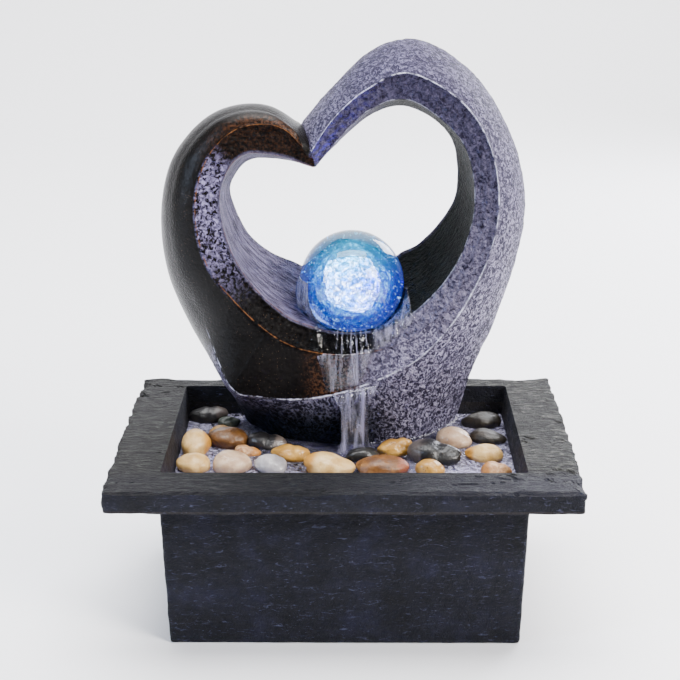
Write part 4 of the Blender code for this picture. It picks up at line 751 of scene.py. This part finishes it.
def make_heart(material):
    grid, stations, bands, shares = heart_grid()
    rows, columns, _ = grid.shape
    world = grid * MM + HEART_BASE
    normals = point_normals(world, True, True).reshape(-1, 3)
    station = np.repeat(stations, columns)
    band = np.tile(bands, rows)
    share = np.tile(shares, rows)
    flat = world.reshape(-1, 3)
    x, z = flat[:, 0] / MM, (flat[:, 2] - DECK_TOP) / MM
    # the glaze covers the left limb, and the wet bevel and lip below the ball
    left = smooth_step(15.2, 15.8, station)
    bottom = smooth_step(8.2, 9.4, station)
    wet_lip = np.where(band == 2, 1 - smooth_step(10, 24, x), 1 - smooth_step(-4, 20, x))
    front = (band == 1) | (band == 2)
    gloss = np.where(band == 0, left, np.where(front, np.maximum(left, bottom * wet_lip), 0.0))
    bevel = np.where((band == 2) | ((band == 1) & (station < 8.6)), 1.0, 0.0)
    bevel = np.where((band == 1) & (station > 8.6) & (station < 15), 0.35, bevel)
    # the stone is in the shade on the right of the inner wall, at the back and low on the left
    shade = np.where(band == 3, smooth_step(-2, 25, x), np.where(band >= 4, 0.65, 0.0))
    low_shade = (1 - smooth_step(14, 46, z)) * (1 - 0.75 * smooth_step(6, 34, x))
    shade = np.where((band == 0) & (left < 0.5), np.maximum(shade, low_shade), shade)
    # painted sheen: where the pit rims of the glazed bevel are painted lavender
    painted_sheen = (band == 2) * smooth_step(15.6, 17.8, station) * (1 - smooth_step(18.8, 19.5, station))
    # distances in millimetres from the pale ridge, the copper ridge and the lip
    starts = [int(np.argmax(bands == k)) for k in range(len(BANDS))]
    widths = np.linalg.norm(np.roll(grid[:, starts], -1, axis=1) - grid[:, starts], axis=2)
    across = widths[:, bands].reshape(-1)
    to_pale, to_copper, to_lip = [
        np.where(band == k, (1 - share) * across, np.where(band == k + 1, share * across, FAR_AWAY))
        for k in range(3)]
    bloom = np.where(band == 1, smooth_step(0.35, 1.0, share), np.where(band == 2, 0.35, 0.0))
    rock = np.exp(-((x + 2) / 15) ** 4) * ((band == 1) & (station > 8) & (station < 15))
    marks = {
        "gloss": gloss, "bevel": bevel, "shade": shade, "painted_sheen": painted_sheen, "inside": band == 3,
        "brown": np.maximum(bloom * smooth_step(18.6, 20.5, station), rock),
        # how much of each edge is rubbed to copper or white
        "copper": (0.25 + 0.75 * smooth_step(9.5, 12, station)) * gloss,
        "lip_copper": 0.75 * smooth_step(11, 12.5, station),
        "pale": 1 - smooth_step(15.4, 16, station), "lip_pale": 0.5 * (station < 9.5),
        "to_pale": to_pale, "to_copper": to_copper, "to_lip": to_lip,
        # the streaks of the inner wall are counted along it and across it
        "run": station * 1.7, "over": share * 34, "height": z / HEART_TALL}
    # low dents in the casting everywhere, rougher on the stone limb, and a seam at the notch
    dents = fractal_noise(flat, 9 * MM, 5, 3) * (0.32 - 0.18 * gloss)
    worms = fractal_noise(flat, 2.2 * MM, 6, 2) * (1 - gloss) * np.where(band == 0, 0.28, 0.12)
    pitted = -np.clip(value_noise(flat, 3.2 * MM, 8), 0, 1) * ((band == 2) & (gloss > 0.5)) * 0.5
    at_notch = np.minimum(station, len(SILHOUETTE) - station)
    seam = -0.5 * np.exp(-(at_notch / 0.05) ** 2)
    on_foot = smooth_step(0.5, 3, z)
    flat = flat + normals * ((dents + worms + pitted + seam) * MM * on_foot)[:, None]
    flat[:, 1] = np.minimum(flat[:, 1], HEART_BACK)
    flat[:, 2] = np.minimum(flat[:, 2], HEART_HIGH.z)
    piece = mesh_piece("heart_casting", flat, grid_faces(rows, columns, wrap_rows=True), material)
    hollow_heart(piece)
    # the cuts renumber the points, so each takes its marks from the nearest old one, and cut faces are left
    # unglazed and painted in shade
    tree = KDTree(len(flat))
    for i, p in enumerate(flat):
        tree.insert(p, i)
    tree.balance()
    nearest = [tree.find(v.co) for v in piece.data.vertices]
    index = np.array([n[1] for n in nearest])
    cut = np.array([n[2] for n in nearest]) > 1.5 * MM
    # cut faces: unglazed, without rubbed lines, and painted in shade
    bare_in_shade = {"shade": 1.0, "to_pale": FAR_AWAY, "to_copper": FAR_AWAY, "to_lip": FAR_AWAY}
    for name, values in marks.items():
        store_attribute(piece, name, np.where(cut, bare_in_shade.get(name, 0.0), values[index]))
    piece.data.shade_smooth()
    piece.data.set_sharp_from_angle(angle=radians(48))
    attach(piece, "sculpture")
    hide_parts("heart_sculpture")


def hollow_heart(piece):
    """Cut the ball's cup, the bores of the light and the hose, the pool and the cavity up from the foot."""
    light_low, light_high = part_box("led_housing")
    light_radius = (light_high[0] - light_low[0]) / 2 + 0.3 * MM
    cup, sides = BALL_RADIUS + 1.0 * MM, 48

    def turned(profile):
        return [[(BALL.x + r * cos(2 * pi * i / sides), BALL.y + r * sin(2 * pi * i / sides), z)
                 for i in range(sides)] for r, z in profile]

    pool_rings = [[(BALL.x + 35 * MM * cos(a) * cos(2 * pi * i / 40),
                    BALL.y + 3 * MM + 17.5 * MM * cos(a) * sin(2 * pi * i / 40),
                    DECK_TOP + 60.5 * MM + 4.5 * MM * sin(a)) for i in range(40)]
                  for a in [radians(a) for a in range(-86, 87, 6)]]
    cavity = [[(FOOT_CENTRE_X * MM + ((FOOT_HALF_WIDTH - 6) * MM - shrink) * cos(radians(a)),
                HEART_BACK - 6 * MM - 25 * MM * sin(radians(a)), HEART_LOW.z + rise)
               for a in range(0, 181, 10)] for rise, shrink in ((-1 * MM, 0), (32.5 * MM, 4 * MM))]
    cup_line = [(cup * cos(radians(a)), BALL.z + cup * sin(radians(a))) for a in range(-88, 89, 4)]
    cutters = []
    for name, rings in (
            ("cup", turned(cup_line)),
            ("light_bore", turned([(light_radius, light_low[2] - 0.3 * MM), (light_radius, BALL.z)])),
            ("hose_bore", turned([(10 * MM, HEART_LOW.z - 1 * MM), (10 * MM, light_low[2] + 1 * MM)])),
            ("pool", pool_rings), ("cavity", cavity)):
        points = [point for ring in rings for point in ring]
        cutters.append(mesh_piece(name, points, capped_faces(len(rings), len(rings[0])), None))
        modifier = piece.modifiers.new(name, "BOOLEAN")
        modifier.operation, modifier.solver, modifier.object = "DIFFERENCE", "EXACT", cutters[-1]
    apply_modifiers(piece)
    for cutter in cutters:
        bpy.data.objects.remove(cutter, do_unlink=True)


# ------------------------------------------------------------------ ball

# shells of lit crackle: radius in mm, cover, glow, colours of its cracks and ground, crackle size in mm
CRACKLE = [(18.3, 0.66, 0.40, "1450ff", "05088c", 2.2), (16.4, 0.28, 1.0, "1480ff", "051cc0", 2.0),
           (14.0, 0.12, 4.0, "28b8ff", "0648e0", 1.8), (11.9, 0.10, 18.0, "88e8ff", "1080ff", 1.9),
           (9.4, 0.55, 90.0, "ffffff", "48c4ff", 2.4)]


def make_ball():
    # blown crystal: clear with a slow wave in its polish, tinted blue as painted light from the lamp below
    glass = rippled_clear("clear_crystal_glass", "93b2ff", 1000 / 90, 0.25, 1.0, 0.0, 0.02, 1.42)
    sides, rings = 96, 47
    points = [(BALL.x, BALL.y, BALL.z - BALL_RADIUS)]
    for a in [pi * (r + 1) / (rings + 1) - pi / 2 for r in range(rings)]:
        points += [(BALL.x + BALL_RADIUS * cos(a) * cos(2 * pi * i / sides),
                    BALL.y + BALL_RADIUS * cos(a) * sin(2 * pi * i / sides),
                    BALL.z + BALL_RADIUS * sin(a)) for i in range(sides)]
    points.append((BALL.x, BALL.y, BALL.z + BALL_RADIUS))
    faces = [tuple(1 + n for n in f) for f in grid_faces(rings, sides)]
    last = 1 + (rings - 1) * sides
    faces += [(0, 1 + (i + 1) % sides, 1 + i) for i in range(sides)]
    faces += [(last + i, last + (i + 1) % sides, len(points) - 1) for i in range(sides)]
    shell = mesh_piece("ball_shell", points, faces, glass)
    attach(shell, "ball")
    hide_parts("crystal_ball")

    pieces = [crackle_flakes()]
    for number, (radius, cover, glow, inner, outer, grain) in enumerate(CRACKLE, 1):
        def lumpy(points, radius=radius):
            lumps = fractal_noise(points, 0.5, 91 + int(radius), 3)
            return np.array(BALL) + points * ((radius + (18.6 - radius) * 0.32 * lumps) * MM)[:, None]
        finish = lit_crackle(f"lit_crackle_{number}", inner, outer, glow, cover, grain)
        pieces.append(ball_piece(f"ball_crackle_{number}", lumpy, finish))
    for piece in pieces:
        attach(piece, "ball")


def crackle_flakes():
    """Geometry Nodes scatter of small cracks and bubbles through the glass, denser towards the middle, that glow
    as painted light.
    """
    finish = lit_crackle("lit_crackle_flakes", "c8f6ff", "2a90ff", 7.0, 1.0, 2.0)

    def build(add, given):
        random, vector = "FunctionNodeRandomValue", "ShaderNodeVectorMath"
        cloud = add("Points", {"Count": given["Count"]})
        way = add(random, {0: (-1, -1, -1), 1: (1, 1, 1), "Seed": given["Seed"]}, data_type="FLOAT_VECTOR")
        way = add(vector, (way,), operation="NORMALIZE")
        seed = add("ShaderNodeMath", (given["Seed"], 1.0), operation="ADD")
        far = add(random, {2: 0.0, 3: 1.0, "Seed": seed}, data_type="FLOAT")
        far = add("ShaderNodeMath", (far, 0.6), operation="POWER")
        far = add("ShaderNodeMath", (far, given["Reach"]), **TIMES)
        away = add(vector, (way, far), operation="SCALE")
        place = add(vector, (away, given["Centre"]), operation="ADD")
        cloud = add("SetPosition", {"Geometry": cloud, "Position": place})
        chip = add("MeshIcoSphere", {"Radius": given["Flake"], "Subdivisions": 1})
        turn = add(random, {0: (0, 0, 0), 1: (6.28, 6.28, 6.28), "Seed": 3}, data_type="FLOAT_VECTOR")
        size = add(random, {0: (0.25, 0.25, 0.12), 1: (1.3, 1.0, 0.6), "Seed": 5}, data_type="FLOAT_VECTOR")
        placed = add("InstanceOnPoints", {"Points": cloud, "Instance": chip, "Rotation": turn, "Scale": size})
        return placed, finish

    piece = add_piece("ball_flakes", bpy.data.meshes.new("ball_flakes"))
    scatter(piece, "crackle_scatter", {
        "Count": ("Int", 2200), "Reach": ("Float", 18.0 * MM), "Flake": ("Float", 0.40 * MM),
        "Seed": ("Int", 7), "Centre": ("Vector", BALL[:])}, build)
    return piece


# ------------------------------------------------------------------ pebbles

# half sizes in millimetres and turn in degrees as in the model, then a shape, a finish, and the end (-1 or 1)
# that is of the finish's second colour
PEBBLES = [
    (9.7, 6.5, 4.6, 8, "lobed", "slate", 1), (5.6, 5.0, 4.0, 20, "flat", "moss", 0),
    (5.6, 4.0, 3.2, 15, "wedge", "amber", 0), (6.8, 8.5, 6.6, 10, "round", "cream", 1),
    (10.0, 7.0, 5.4, -8, "round", "brown", 0), (6.4, 4.2, 3.2, -15, "lobed", "tan", 1),
    (7.8, 6.4, 5.2, 0, "round", "cream", 0), (9.4, 7.4, 5.4, 0, "round", "blush", 0),
    (8.4, 6.6, 5.2, -14, "wedge", "white", 0), (10.0, 6.0, 4.4, -8, "lobed", "slate", 1),
    (9.2, 5.6, 4.4, -12, "lobed", "amber", 0), (11.7, 7.4, 6.0, -12, "wedge", "cream", -1),
    (8.0, 5.0, 4.0, 12, "round", "black", 0), (11.9, 7.4, 5.4, 6, "round", "russet", 1),
    (9.4, 5.6, 4.8, 16, "lobed", "amber", 0), (13.0, 7.4, 5.8, -12, "lobed", "black", -1),
    (7.2, 5.6, 5.0, -8, "wedge", "amber", 0), (8.4, 7.0, 5.2, -20, "round", "blush", 0),
    (9.6, 6.8, 4.6, 8, "round", "bark", 0), (9.6, 5.6, 4.2, -18, "wedge", "bark", 0),
    (9.2, 5.8, 4.4, -10, "round", "cream", -1), (7.0, 5.0, 4.6, -8, "lobed", "tan", -1),
]


# each finish: its name, dark, middle, light and speck colours, grain in mm, banding and second colour
STONES = {
    "slate": ("grey_slate_pebble", "0f0f11", "232123", "3c3836", "0a0a0b", 9, 0.4, "5d534e"),
    "moss": ("green_grey_pebble", "1f2420", "3a413a", "5c6358", "15180f", 6),
    "amber": ("amber_jasper_pebble", "7a5424", "a87c34", "cfa55a", "4e3210", 8),
    "cream": ("cream_quartz_pebble", "9c7638", "c29e62", "d8bf90", "643c18", 7, 0.2, "b07c32"),
    "brown": ("brown_jasper_pebble", "341f0e", "56381a", "765026", "946a3c", 5, 0.5),
    "tan": ("banded_tan_pebble", "70452a", "a87c52", "cfae84", "54331c", 4, 0.8, "a06a30"),
    "blush": ("blush_quartz_pebble", "8c6a50", "b09478", "cdb698", "6e442c", 6),
    "white": ("milk_quartz_pebble", "6c686a", "959193", "b4b0b0", "5c5a60", 14, 0.3),
    "black": ("black_basalt_pebble", "060607", "121213", "26231f", "040405", 11, 0.6, "4a4340"),
    "russet": ("russet_jasper_pebble", "40260f", "68431f", "8a6034", "aa7c4c", 5, 0.3, "7c452e"),
    "bark": ("bark_grey_pebble", "100e0b", "26211b", "453d32", "0a0806", 7, 0.5),
}


def make_pebbles():
    finishes = {name: polished_stone(*facts) for name, facts in STONES.items()}
    for number, (length, width, height, turn, shape, finish, two_tone_end) in enumerate(PEBBLES, 1):
        node = f"pebble_{number:02d}"
        marks = {}

        def tumbled(p):
            size = np.ones(len(p))
            if shape == "lobed":
                size -= 0.20 * np.exp(-((p[:, 0] - 0.12) / 0.22) ** 2) * smooth_step(-0.2, 0.7, p[:, 2])
                size -= 0.08 * (p[:, 0] > 0.1) * smooth_step(0.1, 0.6, p[:, 0])
            if shape == "wedge":
                size -= 0.16 * smooth_step(-0.4, 1.0, p[:, 0]) * smooth_step(0.0, 0.8, p[:, 2])
            if shape == "flat":
                size -= 0.18 * smooth_step(0.3, 0.9, p[:, 2])
            size += 0.24 * fractal_noise(p + number * 3.7, 1.3, 100 + number, 3) + 0.02
            blunt = 1 + 0.16 * p[:, 0] * (1 if number % 2 else -1)
            size = np.stack([size, size * blunt, size * blunt], axis=1)
            x, y, z = (p * (length, width, height) * size * MM).T
            a = radians(turn)
            marks["lobe"] = p[:, 0] * two_tone_end
            turned = np.stack([x * cos(a) - y * sin(a), x * sin(a) + y * cos(a), z], axis=1)
            return turned + np.array(centre_of(node))

        piece = ball_piece(f"stone_{number:02d}", tumbled, finishes[finish])
        store_attribute(piece, "lobe", marks["lobe"])
        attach(piece, "deck")
        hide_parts(node)


# ------------------------------------------------------------------ water

def make_water():
    """Water on the deck, with rings round the place where the stream lands."""
    slope = (RIM_HIGH.z - WATER_LINE) * INNER_DRAFT + 0.1 * MM
    half_x = RIM_HIGH.x - SIDE_FLANGE - slope
    front, back = FRONT_FLANGE - RIM_HIGH.y + slope, RIM_HIGH.y - BACK_FLANGE - slope
    columns, rows = 200, 140
    xs, ys = np.linspace(-half_x, half_x, columns), np.linspace(front, back, rows)
    top = np.array([(x, y, WATER_LINE) for y in ys for x in xs])
    landing = np.hypot(top[:, 0] - BALL.x, top[:, 1] - (HEART_BACK - 41 * MM))
    rings = np.sin(landing / (1.5 * MM)) * np.exp(-landing / (16 * MM)) * 0.55
    top[:, 2] += (rings + 0.18 * fractal_noise(top, 9 * MM, 200, 3)) * MM
    edge = grid_edge(rows, columns)
    bottom = top[edge]
    bottom[:, 2] = DECK_TOP + 0.1 * MM
    under = [len(top) + i for i in range(len(edge))]
    faces = grid_faces(rows, columns, wrap_columns=False) + wall_faces(edge, under) + [tuple(under)]
    piece = mesh_piece("basin_water", np.vstack([top, bottom]), faces, tray_surface())
    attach(piece, "deck")


def water_sheet(name, outer, inner, material, round_pool=False):
    """Closed thin body between two grids of points; the rows of a round pool are rings round its middle."""
    rows, columns, _ = outer.shape
    total = rows * columns
    if round_pool:
        faces = grid_faces(rows, columns) + [tuple(range(columns))[::-1]]
        edge = list(range(total - columns, total))
    else:
        faces = grid_faces(rows, columns, wrap_columns=False)
        edge = grid_edge(rows, columns)
    faces += [tuple(total + n for n in face[::-1]) for face in faces]
    faces += wall_faces(edge, [total + n for n in edge])
    piece = mesh_piece(name, np.vstack([outer.reshape(-1, 3), inner.reshape(-1, 3)]), faces, material)
    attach(piece, "sculpture")


def clear_of_ball(points, gap):
    """Push points that would lie in the ball out into the cup's wall."""
    away = points - np.array(BALL)
    far = np.linalg.norm(away, axis=2, keepdims=True)
    return np.array(BALL) + away * np.maximum(far, BALL_RADIUS + gap) / far


def film_on_heart(name, material, runs_at):
    """Film of water on the heart's inner wall, bevel and front, wherever runs_at(x, level) says that it runs.

    The level is 0 at the pale ridge, 1 at the copper one, 2 at the lip and more on the wall inside it.
    """
    grid, stations, bands, shares = heart_grid()
    world = grid * MM + HEART_BASE
    normals = point_normals(world, True, True)
    # the front without its first row, the bevel, and the outer half of the inner wall
    order = [c for band, first, last in ((1, 1, None), (2, 0, None), (3, 0, 9))
             for c in np.flatnonzero(bands == band)[first:last]]
    along = np.flatnonzero((stations >= 9.0) & (stations <= 13.6))
    skin = world[np.ix_(along, order)]
    out = normals[np.ix_(along, order)]
    level = (bands[order] - 1 + shares[order])[None, :]
    inside = runs_at(skin[:, :, 0] / MM, level + 0 * skin[:, :, 0])
    flat = skin.reshape(-1, 3)
    strand = value_noise(flat, (2.6 * MM, 30 * MM, 30 * MM), 301)
    strand += 0.5 * value_noise(flat, (1.1 * MM, 14 * MM, 12 * MM), 302)
    strand = np.clip(strand, 0, 1).reshape(inside.shape)
    ends = smooth_step(0.0, 0.12, level) * (1 - smooth_step(2.35, 2.5, level))
    thick = 0.03 * MM + (0.25 + 0.95 * strand) * MM * inside * (0.3 + 0.7 * ends)
    # where no water runs the sheet is sunk in the casting
    rise = (0.15 * inside - 0.95 * (1 - inside)) * MM
    outer = skin + out * (thick + rise)[:, :, None]
    inner = skin + out * (rise - 0.35 * MM)[:, :, None]
    water_sheet(name, clear_of_ball(outer, 1.2 * MM), clear_of_ball(inner, 1.6 * MM), material)


def veil_runs(x, level):
    """Down the front in a narrowing veil, and along the ledge to the right of the ball."""
    down = 1 - np.clip(level, 0, 1)
    left_end = -14.5 + 4.5 * down + 26.0 * smooth_step(0.95, 1.2, level)
    right_end = 15.0 - 7.0 * down + 28.0 * np.clip(level - 1, 0, 1)
    return smooth_step(left_end, left_end + 2.5, x) * (1 - smooth_step(right_end - 3.0, right_end, x))


def lip_runs(x, level):
    """A still, clear film over the dark lip in front of the ball."""
    across = smooth_step(-20, -15, x) * (1 - smooth_step(12, 17, x))
    return across * smooth_step(0.98, 1.15, level) * (1 - smooth_step(2.2, 2.5, level))


def strands(name, paths):
    """Thin tapering strands of water; a path is two ends, its bulge forward and its radius, all in mm."""
    points, faces = [], []
    steps, sides = 18, 7
    for number, (start, end, bulge, wide) in enumerate(paths):
        start, end = np.array(start), np.array(end)
        first = len(points)
        for t in np.linspace(0, 1, steps):
            thick = wide * (0.45 + 0.6 * max(sin(pi * t), 0) ** 0.5 + 0.2 * sin(9 * t + number))
            middle = start + (end - start) * t - (0, bulge * sin(pi * t), 0)
            points += [(middle + thick * np.array((cos(a), sin(a), 0))) * MM + (0, 0, DECK_TOP)
                       for a in [2 * pi * k / sides for k in range(sides)]]
        faces += [tuple(first + n for n in face) for face in capped_faces(steps, sides)]
    piece = mesh_piece(name, points, faces, flowing_water())
    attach(piece, "sculpture")


def make_strands():
    """Strands that drip off the dark lip, and a fan below the ridge where the water from the right joins."""
    over_lip = [((x, 15.6, 62.4), (x + drift, 10.7 + 4.9 * (1 - drop), 62.4 - 10.6 * drop), 1.6, wide)
                for x, drift, wide, drop in (
                    (-3.4, -0.8, 0.30, 0.8), (-1.2, -0.5, 0.42, 1.0), (1.0, 0.2, 0.34, 0.75),
                    (3.0, -0.3, 0.5, 1.0), (5.2, 0.4, 0.36, 0.9), (7.4, 0.5, 0.46, 1.0),
                    (9.6, 0.9, 0.3, 0.7))]
    strands("lip_strands", over_lip)
    fan = [((17.5 - 1.7 * k, 11.0, 36.5 - 0.5 * k), (9.5 - 1.9 * k, 8.0, 27.5 - 1.3 * (k % 3)), 1.2,
            0.24 + 0.06 * (k % 3)) for k in range(8)]
    strands("ridge_fan", fan)


def falling_stream():
    """The sheet that leaves the pale ridge and falls into the basin."""
    top, bottom = DECK_TOP + 38 * MM, WATER_LINE - 0.3 * MM
    front = HEART_BACK - 48.8 * MM
    rows, columns = 70, 60
    share = np.linspace(0, 1, rows)[:, None]
    side = np.linspace(-1, 1, columns)[None, :]
    half = (10.5 - 4.0 * smooth_step(0.0, 0.35, share) + 1.6 * smooth_step(0.75, 1.0, share)) * MM
    x = 4.6 * MM + side * half
    # the ridge falls away to the left, so the sheet starts lower there
    z = top + (bottom - top) * share - (1 - share) * (1 - side) * 2.0 * MM
    # its upper edge curls back over the ridge and into the film
    curl = np.clip(1 - share / 0.16, 0, 1) ** 2
    y = front - (1.0 + 1.2 * share) * MM + 5.0 * curl * MM + 0 * side
    points = np.stack([x, y, z], axis=2)
    flat = points.reshape(-1, 3)
    folds = value_noise(flat, (2.2 * MM, 40 * MM, 26 * MM), 311).reshape(rows, columns)
    fine = value_noise(flat, (0.9 * MM, 40 * MM, 12 * MM), 313).reshape(rows, columns)
    edge = np.sqrt(np.clip(1 - side ** 2, 0, 1)) + 0 * share
    thick = (0.25 + 0.75 * np.clip(folds + 0.4 * fine + 0.3, 0, 1.4)) * MM * edge + 0.03 * MM
    outer, inner = points.copy(), points.copy()
    sway = folds * 0.9 * MM
    outer[:, :, 1] += sway - thick
    inner[:, :, 1] += sway + thick * 0.6
    water_sheet("falling_stream", outer, inner, flowing_water())


def pool():
    """Water that the ball turns in: still at its edge, drawn up round the ball, and following it below."""
    half_x, half_y = 34.5 * MM, 18.0 * MM
    share = np.linspace(0.02, 1, 90)[:, None]
    turn = np.linspace(0, 2 * pi, 150, endpoint=False)[None, :]
    x = BALL.x + half_x * share * np.cos(turn)
    y = BALL.y + 2.5 * MM + half_y * share * np.sin(turn)
    reach = np.hypot(x - BALL.x, y - BALL.y)
    waist = np.sqrt(max(BALL_RADIUS ** 2 - (BALL.z - POOL_LINE) ** 2, 0))
    drawn = 2.6 * MM * np.exp(-np.abs(reach - waist) / (3.0 * MM))
    flat = np.stack([x, y, 0 * x], axis=2).reshape(-1, 3)
    ripple = (fractal_noise(flat, (5 * MM, 4 * MM, 5 * MM), 321, 3) * 0.45 * MM).reshape(x.shape)
    skin = BALL_RADIUS + 0.25 * MM
    under = np.where(reach < skin, BALL.z - np.sqrt(np.clip(skin ** 2 - reach ** 2, 0, None)), BALL.z)
    z = np.minimum(POOL_LINE + drawn + ripple, under)
    bed = POOL_LINE - 4.5 * MM * np.sqrt(np.clip(1.0001 - share ** 2, 0, 1)) - 0.1 * MM
    outer, inner = np.stack([x, y, z], axis=2), np.stack([x, y, np.minimum(bed, z - 0.3 * MM)], axis=2)
    # pool water: clear, a little lavender from the stone, in 5 mm ripples
    water_sheet("pool_water", outer, inner, rippled_clear("pool_water", "cfd0e6", 5.0, 0.9), round_pool=True)


def side_swell():
    """Swell of water that clings to the ball's left side, its white streaks painted highlights."""
    rise = np.linspace(radians(-58), radians(8), 40)[:, None]
    turn = np.linspace(radians(165), radians(215), 40)[None, :]
    low = np.sin(np.linspace(0, pi, 40))[:, None] ** 0.7
    wide = np.sin(np.linspace(0, pi, 40))[None, :] ** 0.8
    swell = (3.0 * low * wide + 0.05) * MM
    way = [np.cos(rise) * np.cos(turn), np.cos(rise) * np.sin(turn), np.sin(rise) + 0 * turn]
    way = np.stack(way, axis=2)
    start = BALL_RADIUS + 0.25 * MM
    outer = np.array(BALL) + way * (start + swell)[:, :, None]
    outer[:, :, 2] -= swell * 0.45
    water_sheet("side_swell", outer, np.array(BALL) + way * start, flowing_water())


def foam():
    """Bubbles along the right of the foot, in a band that wanders, scattered by Geometry Nodes."""
    froth = white_froth()

    def build(add, given):
        spots = add("DistributePointsOnFaces", {name: given[was] for name, was in (
            ("Mesh", "Geometry"), ("Density", "Density"), ("Seed", "Seed"))})
        bubble = add("MeshIcoSphere", {"Radius": given["Bubble"], "Subdivisions": 2})
        size = add("FunctionNodeRandomValue", {2: 0.3, 3: 1.5, "Seed": given["Seed"]}, data_type="FLOAT")
        return add("InstanceOnPoints", {"Points": spots, "Instance": bubble, "Scale": size}), froth

    points = []
    steps = 40
    for angle in [radians(-8 + 88 * i / steps) for i in range(steps + 1)]:
        for reach in (0.4, 1.6 + 0.9 * sin(9 * angle)):
            points.append((FOOT_CENTRE_X * MM + (FOOT_HALF_WIDTH + reach) * MM * cos(angle),
                           HEART_BACK - 1 * MM - (FOOT_REACH + reach) * MM * sin(angle),
                           WATER_LINE + 0.3 * MM))
    faces = [(2 * i, 2 * i + 1, 2 * i + 3, 2 * i + 2) for i in range(steps)]
    patch = mesh_piece("foam", points, faces, froth, closed=False)
    scatter(patch, "foam_scatter", {"Density": ("Float", 1.3e6), "Bubble": ("Float", 0.30 * MM),
                                    "Seed": ("Int", 5)}, build)
    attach(patch, "deck")


# ------------------------------------------------------------------ studio and hidden parts

def make_stage():
    """Pale floor that sweeps up into a backdrop."""
    material, _, _ = new_material("pale_sweep", base_color="f3f3f6", roughness=0.55)
    bend = [(1.1 + 0.9 * sin(radians(a)), 0.9 - 0.9 * cos(radians(a))) for a in range(6, 91, 6)]
    profile = [(-12.0, 0.0), (1.1, 0.0), *bend, (2.0, 4.0)]
    points = [(x, y, z) for y, z in profile for x in (-12.0, 12.0)]
    faces = [(2 * i, 2 * i + 1, 2 * i + 3, 2 * i + 2) for i in range(len(profile) - 1)]
    sweep = mesh_piece("sweep", points, faces, material, closed=False)


def add_lamp(name, kind, place, target, power, colour="ffffff", **settings):
    lamp = bpy.data.lights.new(name, kind)
    lamp.energy, lamp.color = power, linear(colour)[:3]
    for key, value in settings.items():
        setattr(lamp, key, value)
    light = add_piece(name, lamp)
    light.location = place
    light.rotation_euler = (Vector(target) - Vector(place)).to_track_quat("-Z", "Y").to_euler()


def make_lights():
    world = bpy.data.worlds.new("studio")
    world.use_nodes = True
    world.node_tree.nodes["Background"].inputs[0].default_value = linear("eef1fa")
    world.node_tree.nodes["Background"].inputs[1].default_value = 0.28
    bpy.context.scene.world = world
    add_lamp("key", "AREA", (0.90, -0.70, 0.78), (0.02, 0, 0.12), 32, "fffaf4", size=0.5)
    add_lamp("strip", "AREA", (-0.75, -0.35, 0.42), (0, 0.03, 0.18), 5, "cfe2ff", size=0.10,
             shape="RECTANGLE", size_y=0.35)
    add_lamp("back", "AREA", (0.62, 0.85, 0.50), (0.08, 0, 0.09), 14, "f2f4ff", size=0.45)
    add_lamp("overhead", "AREA", (0, 0.0, 1.3), (0, 0, 0.1), 4, size=0.7)
    add_lamp("backdrop", "AREA", (0, 0.4, 2.4), (0, 1.7, 0.5), 185, size=2.0)
    # light that the lit ball throws up to the notch and on the wet stone beside it
    add_lamp("glow", "SPOT", BALL + Vector((-0.002, -0.004, BALL_RADIUS + 0.002)), (-0.004, 0.018, 0.225),
             0.5, "4a34ff", spot_size=radians(36), shadow_soft_size=0.004)
    add_lamp("side_glow", "POINT", BALL + Vector((BALL_RADIUS + 0.003, -0.008, -0.014)), BALL, 0.05, "2c1cff",
             shadow_soft_size=0.004)


def make_camera():
    data = bpy.data.cameras.new("view")
    data.lens, data.sensor_width = 79.4, 36.0
    camera = add_piece("view", data)
    camera.location = (0.0058, -0.6575, 0.3517)
    camera.rotation_euler = (radians(90 - 18.62), radians(0.22), radians(0.62))
    bpy.context.scene.camera = camera


# each hidden part's slot: the finish's name, colour and roughness
HIDDEN_FINISHES = {
    "rubber": ("moulded_rubber", "17171a", 0.75), "lead_sheath": ("pvc_sheath", "141416", 0.5),
    "black_plastic": ("moulded_abs_black", "1c1d20", 0.45),
    "grey_plastic": ("moulded_abs_grey", "6c7076", 0.5),
    "white_plastic": ("moulded_acetal", "d9dadc", 0.35),
    "deck_plastic": ("moulded_deck_plastic", "6a6690", 0.42),
    "circuit_board": ("green_lacquered_board", "1f5a37", 0.4),
    "led_epoxy": ("cast_epoxy_dome", "dfe9ff", 0.12), "clear_lens": ("polycarbonate", "cfdcf0", 0.1),
    "clear_hose": ("soft_clear_pvc", "c9ced2", 0.25), "ceramic": ("ground_alumina", "ece8df", 0.3),
    "ferrite": ("sintered_ferrite", "2c2b2d", 0.6), "core_steel": ("punched_steel", "8b8d90", 0.4, 1.0),
    "copper_winding": ("enamelled_copper", "b4692f", 0.35, 1.0),
    "potting_resin": ("poured_epoxy", "121214", 0.2),
}


def finish_hidden_parts():
    """Give each piece that keeps its own shape the finish of its real material."""
    finishes = {slot: moulded(*facts) for slot, facts in HIDDEN_FINISHES.items()}
    slots = {part["node"]: part["material_slot"] for part in frame["record"]["subparts"]}
    for node, piece in frame["nodes"].items():
        finish = finishes.get(slots.get(node))
        if finish:
            for slot in piece.material_slots:
                slot.material = finish


make_camera()
make_basin(slate_resin())
make_heart(heart_finish())
make_ball()
make_pebbles()
make_water()
pool()
side_swell()
film_on_heart("veil_water", flowing_water(), veil_runs)
# lip film: still water, clear, in 6 mm ripples
film_on_heart("lip_water", rippled_clear("lip_film_water", "eef3fa", 6.0, 0.8), lip_runs)
make_strands()
falling_stream()
foam()
finish_hidden_parts()
make_lights()
make_stage()
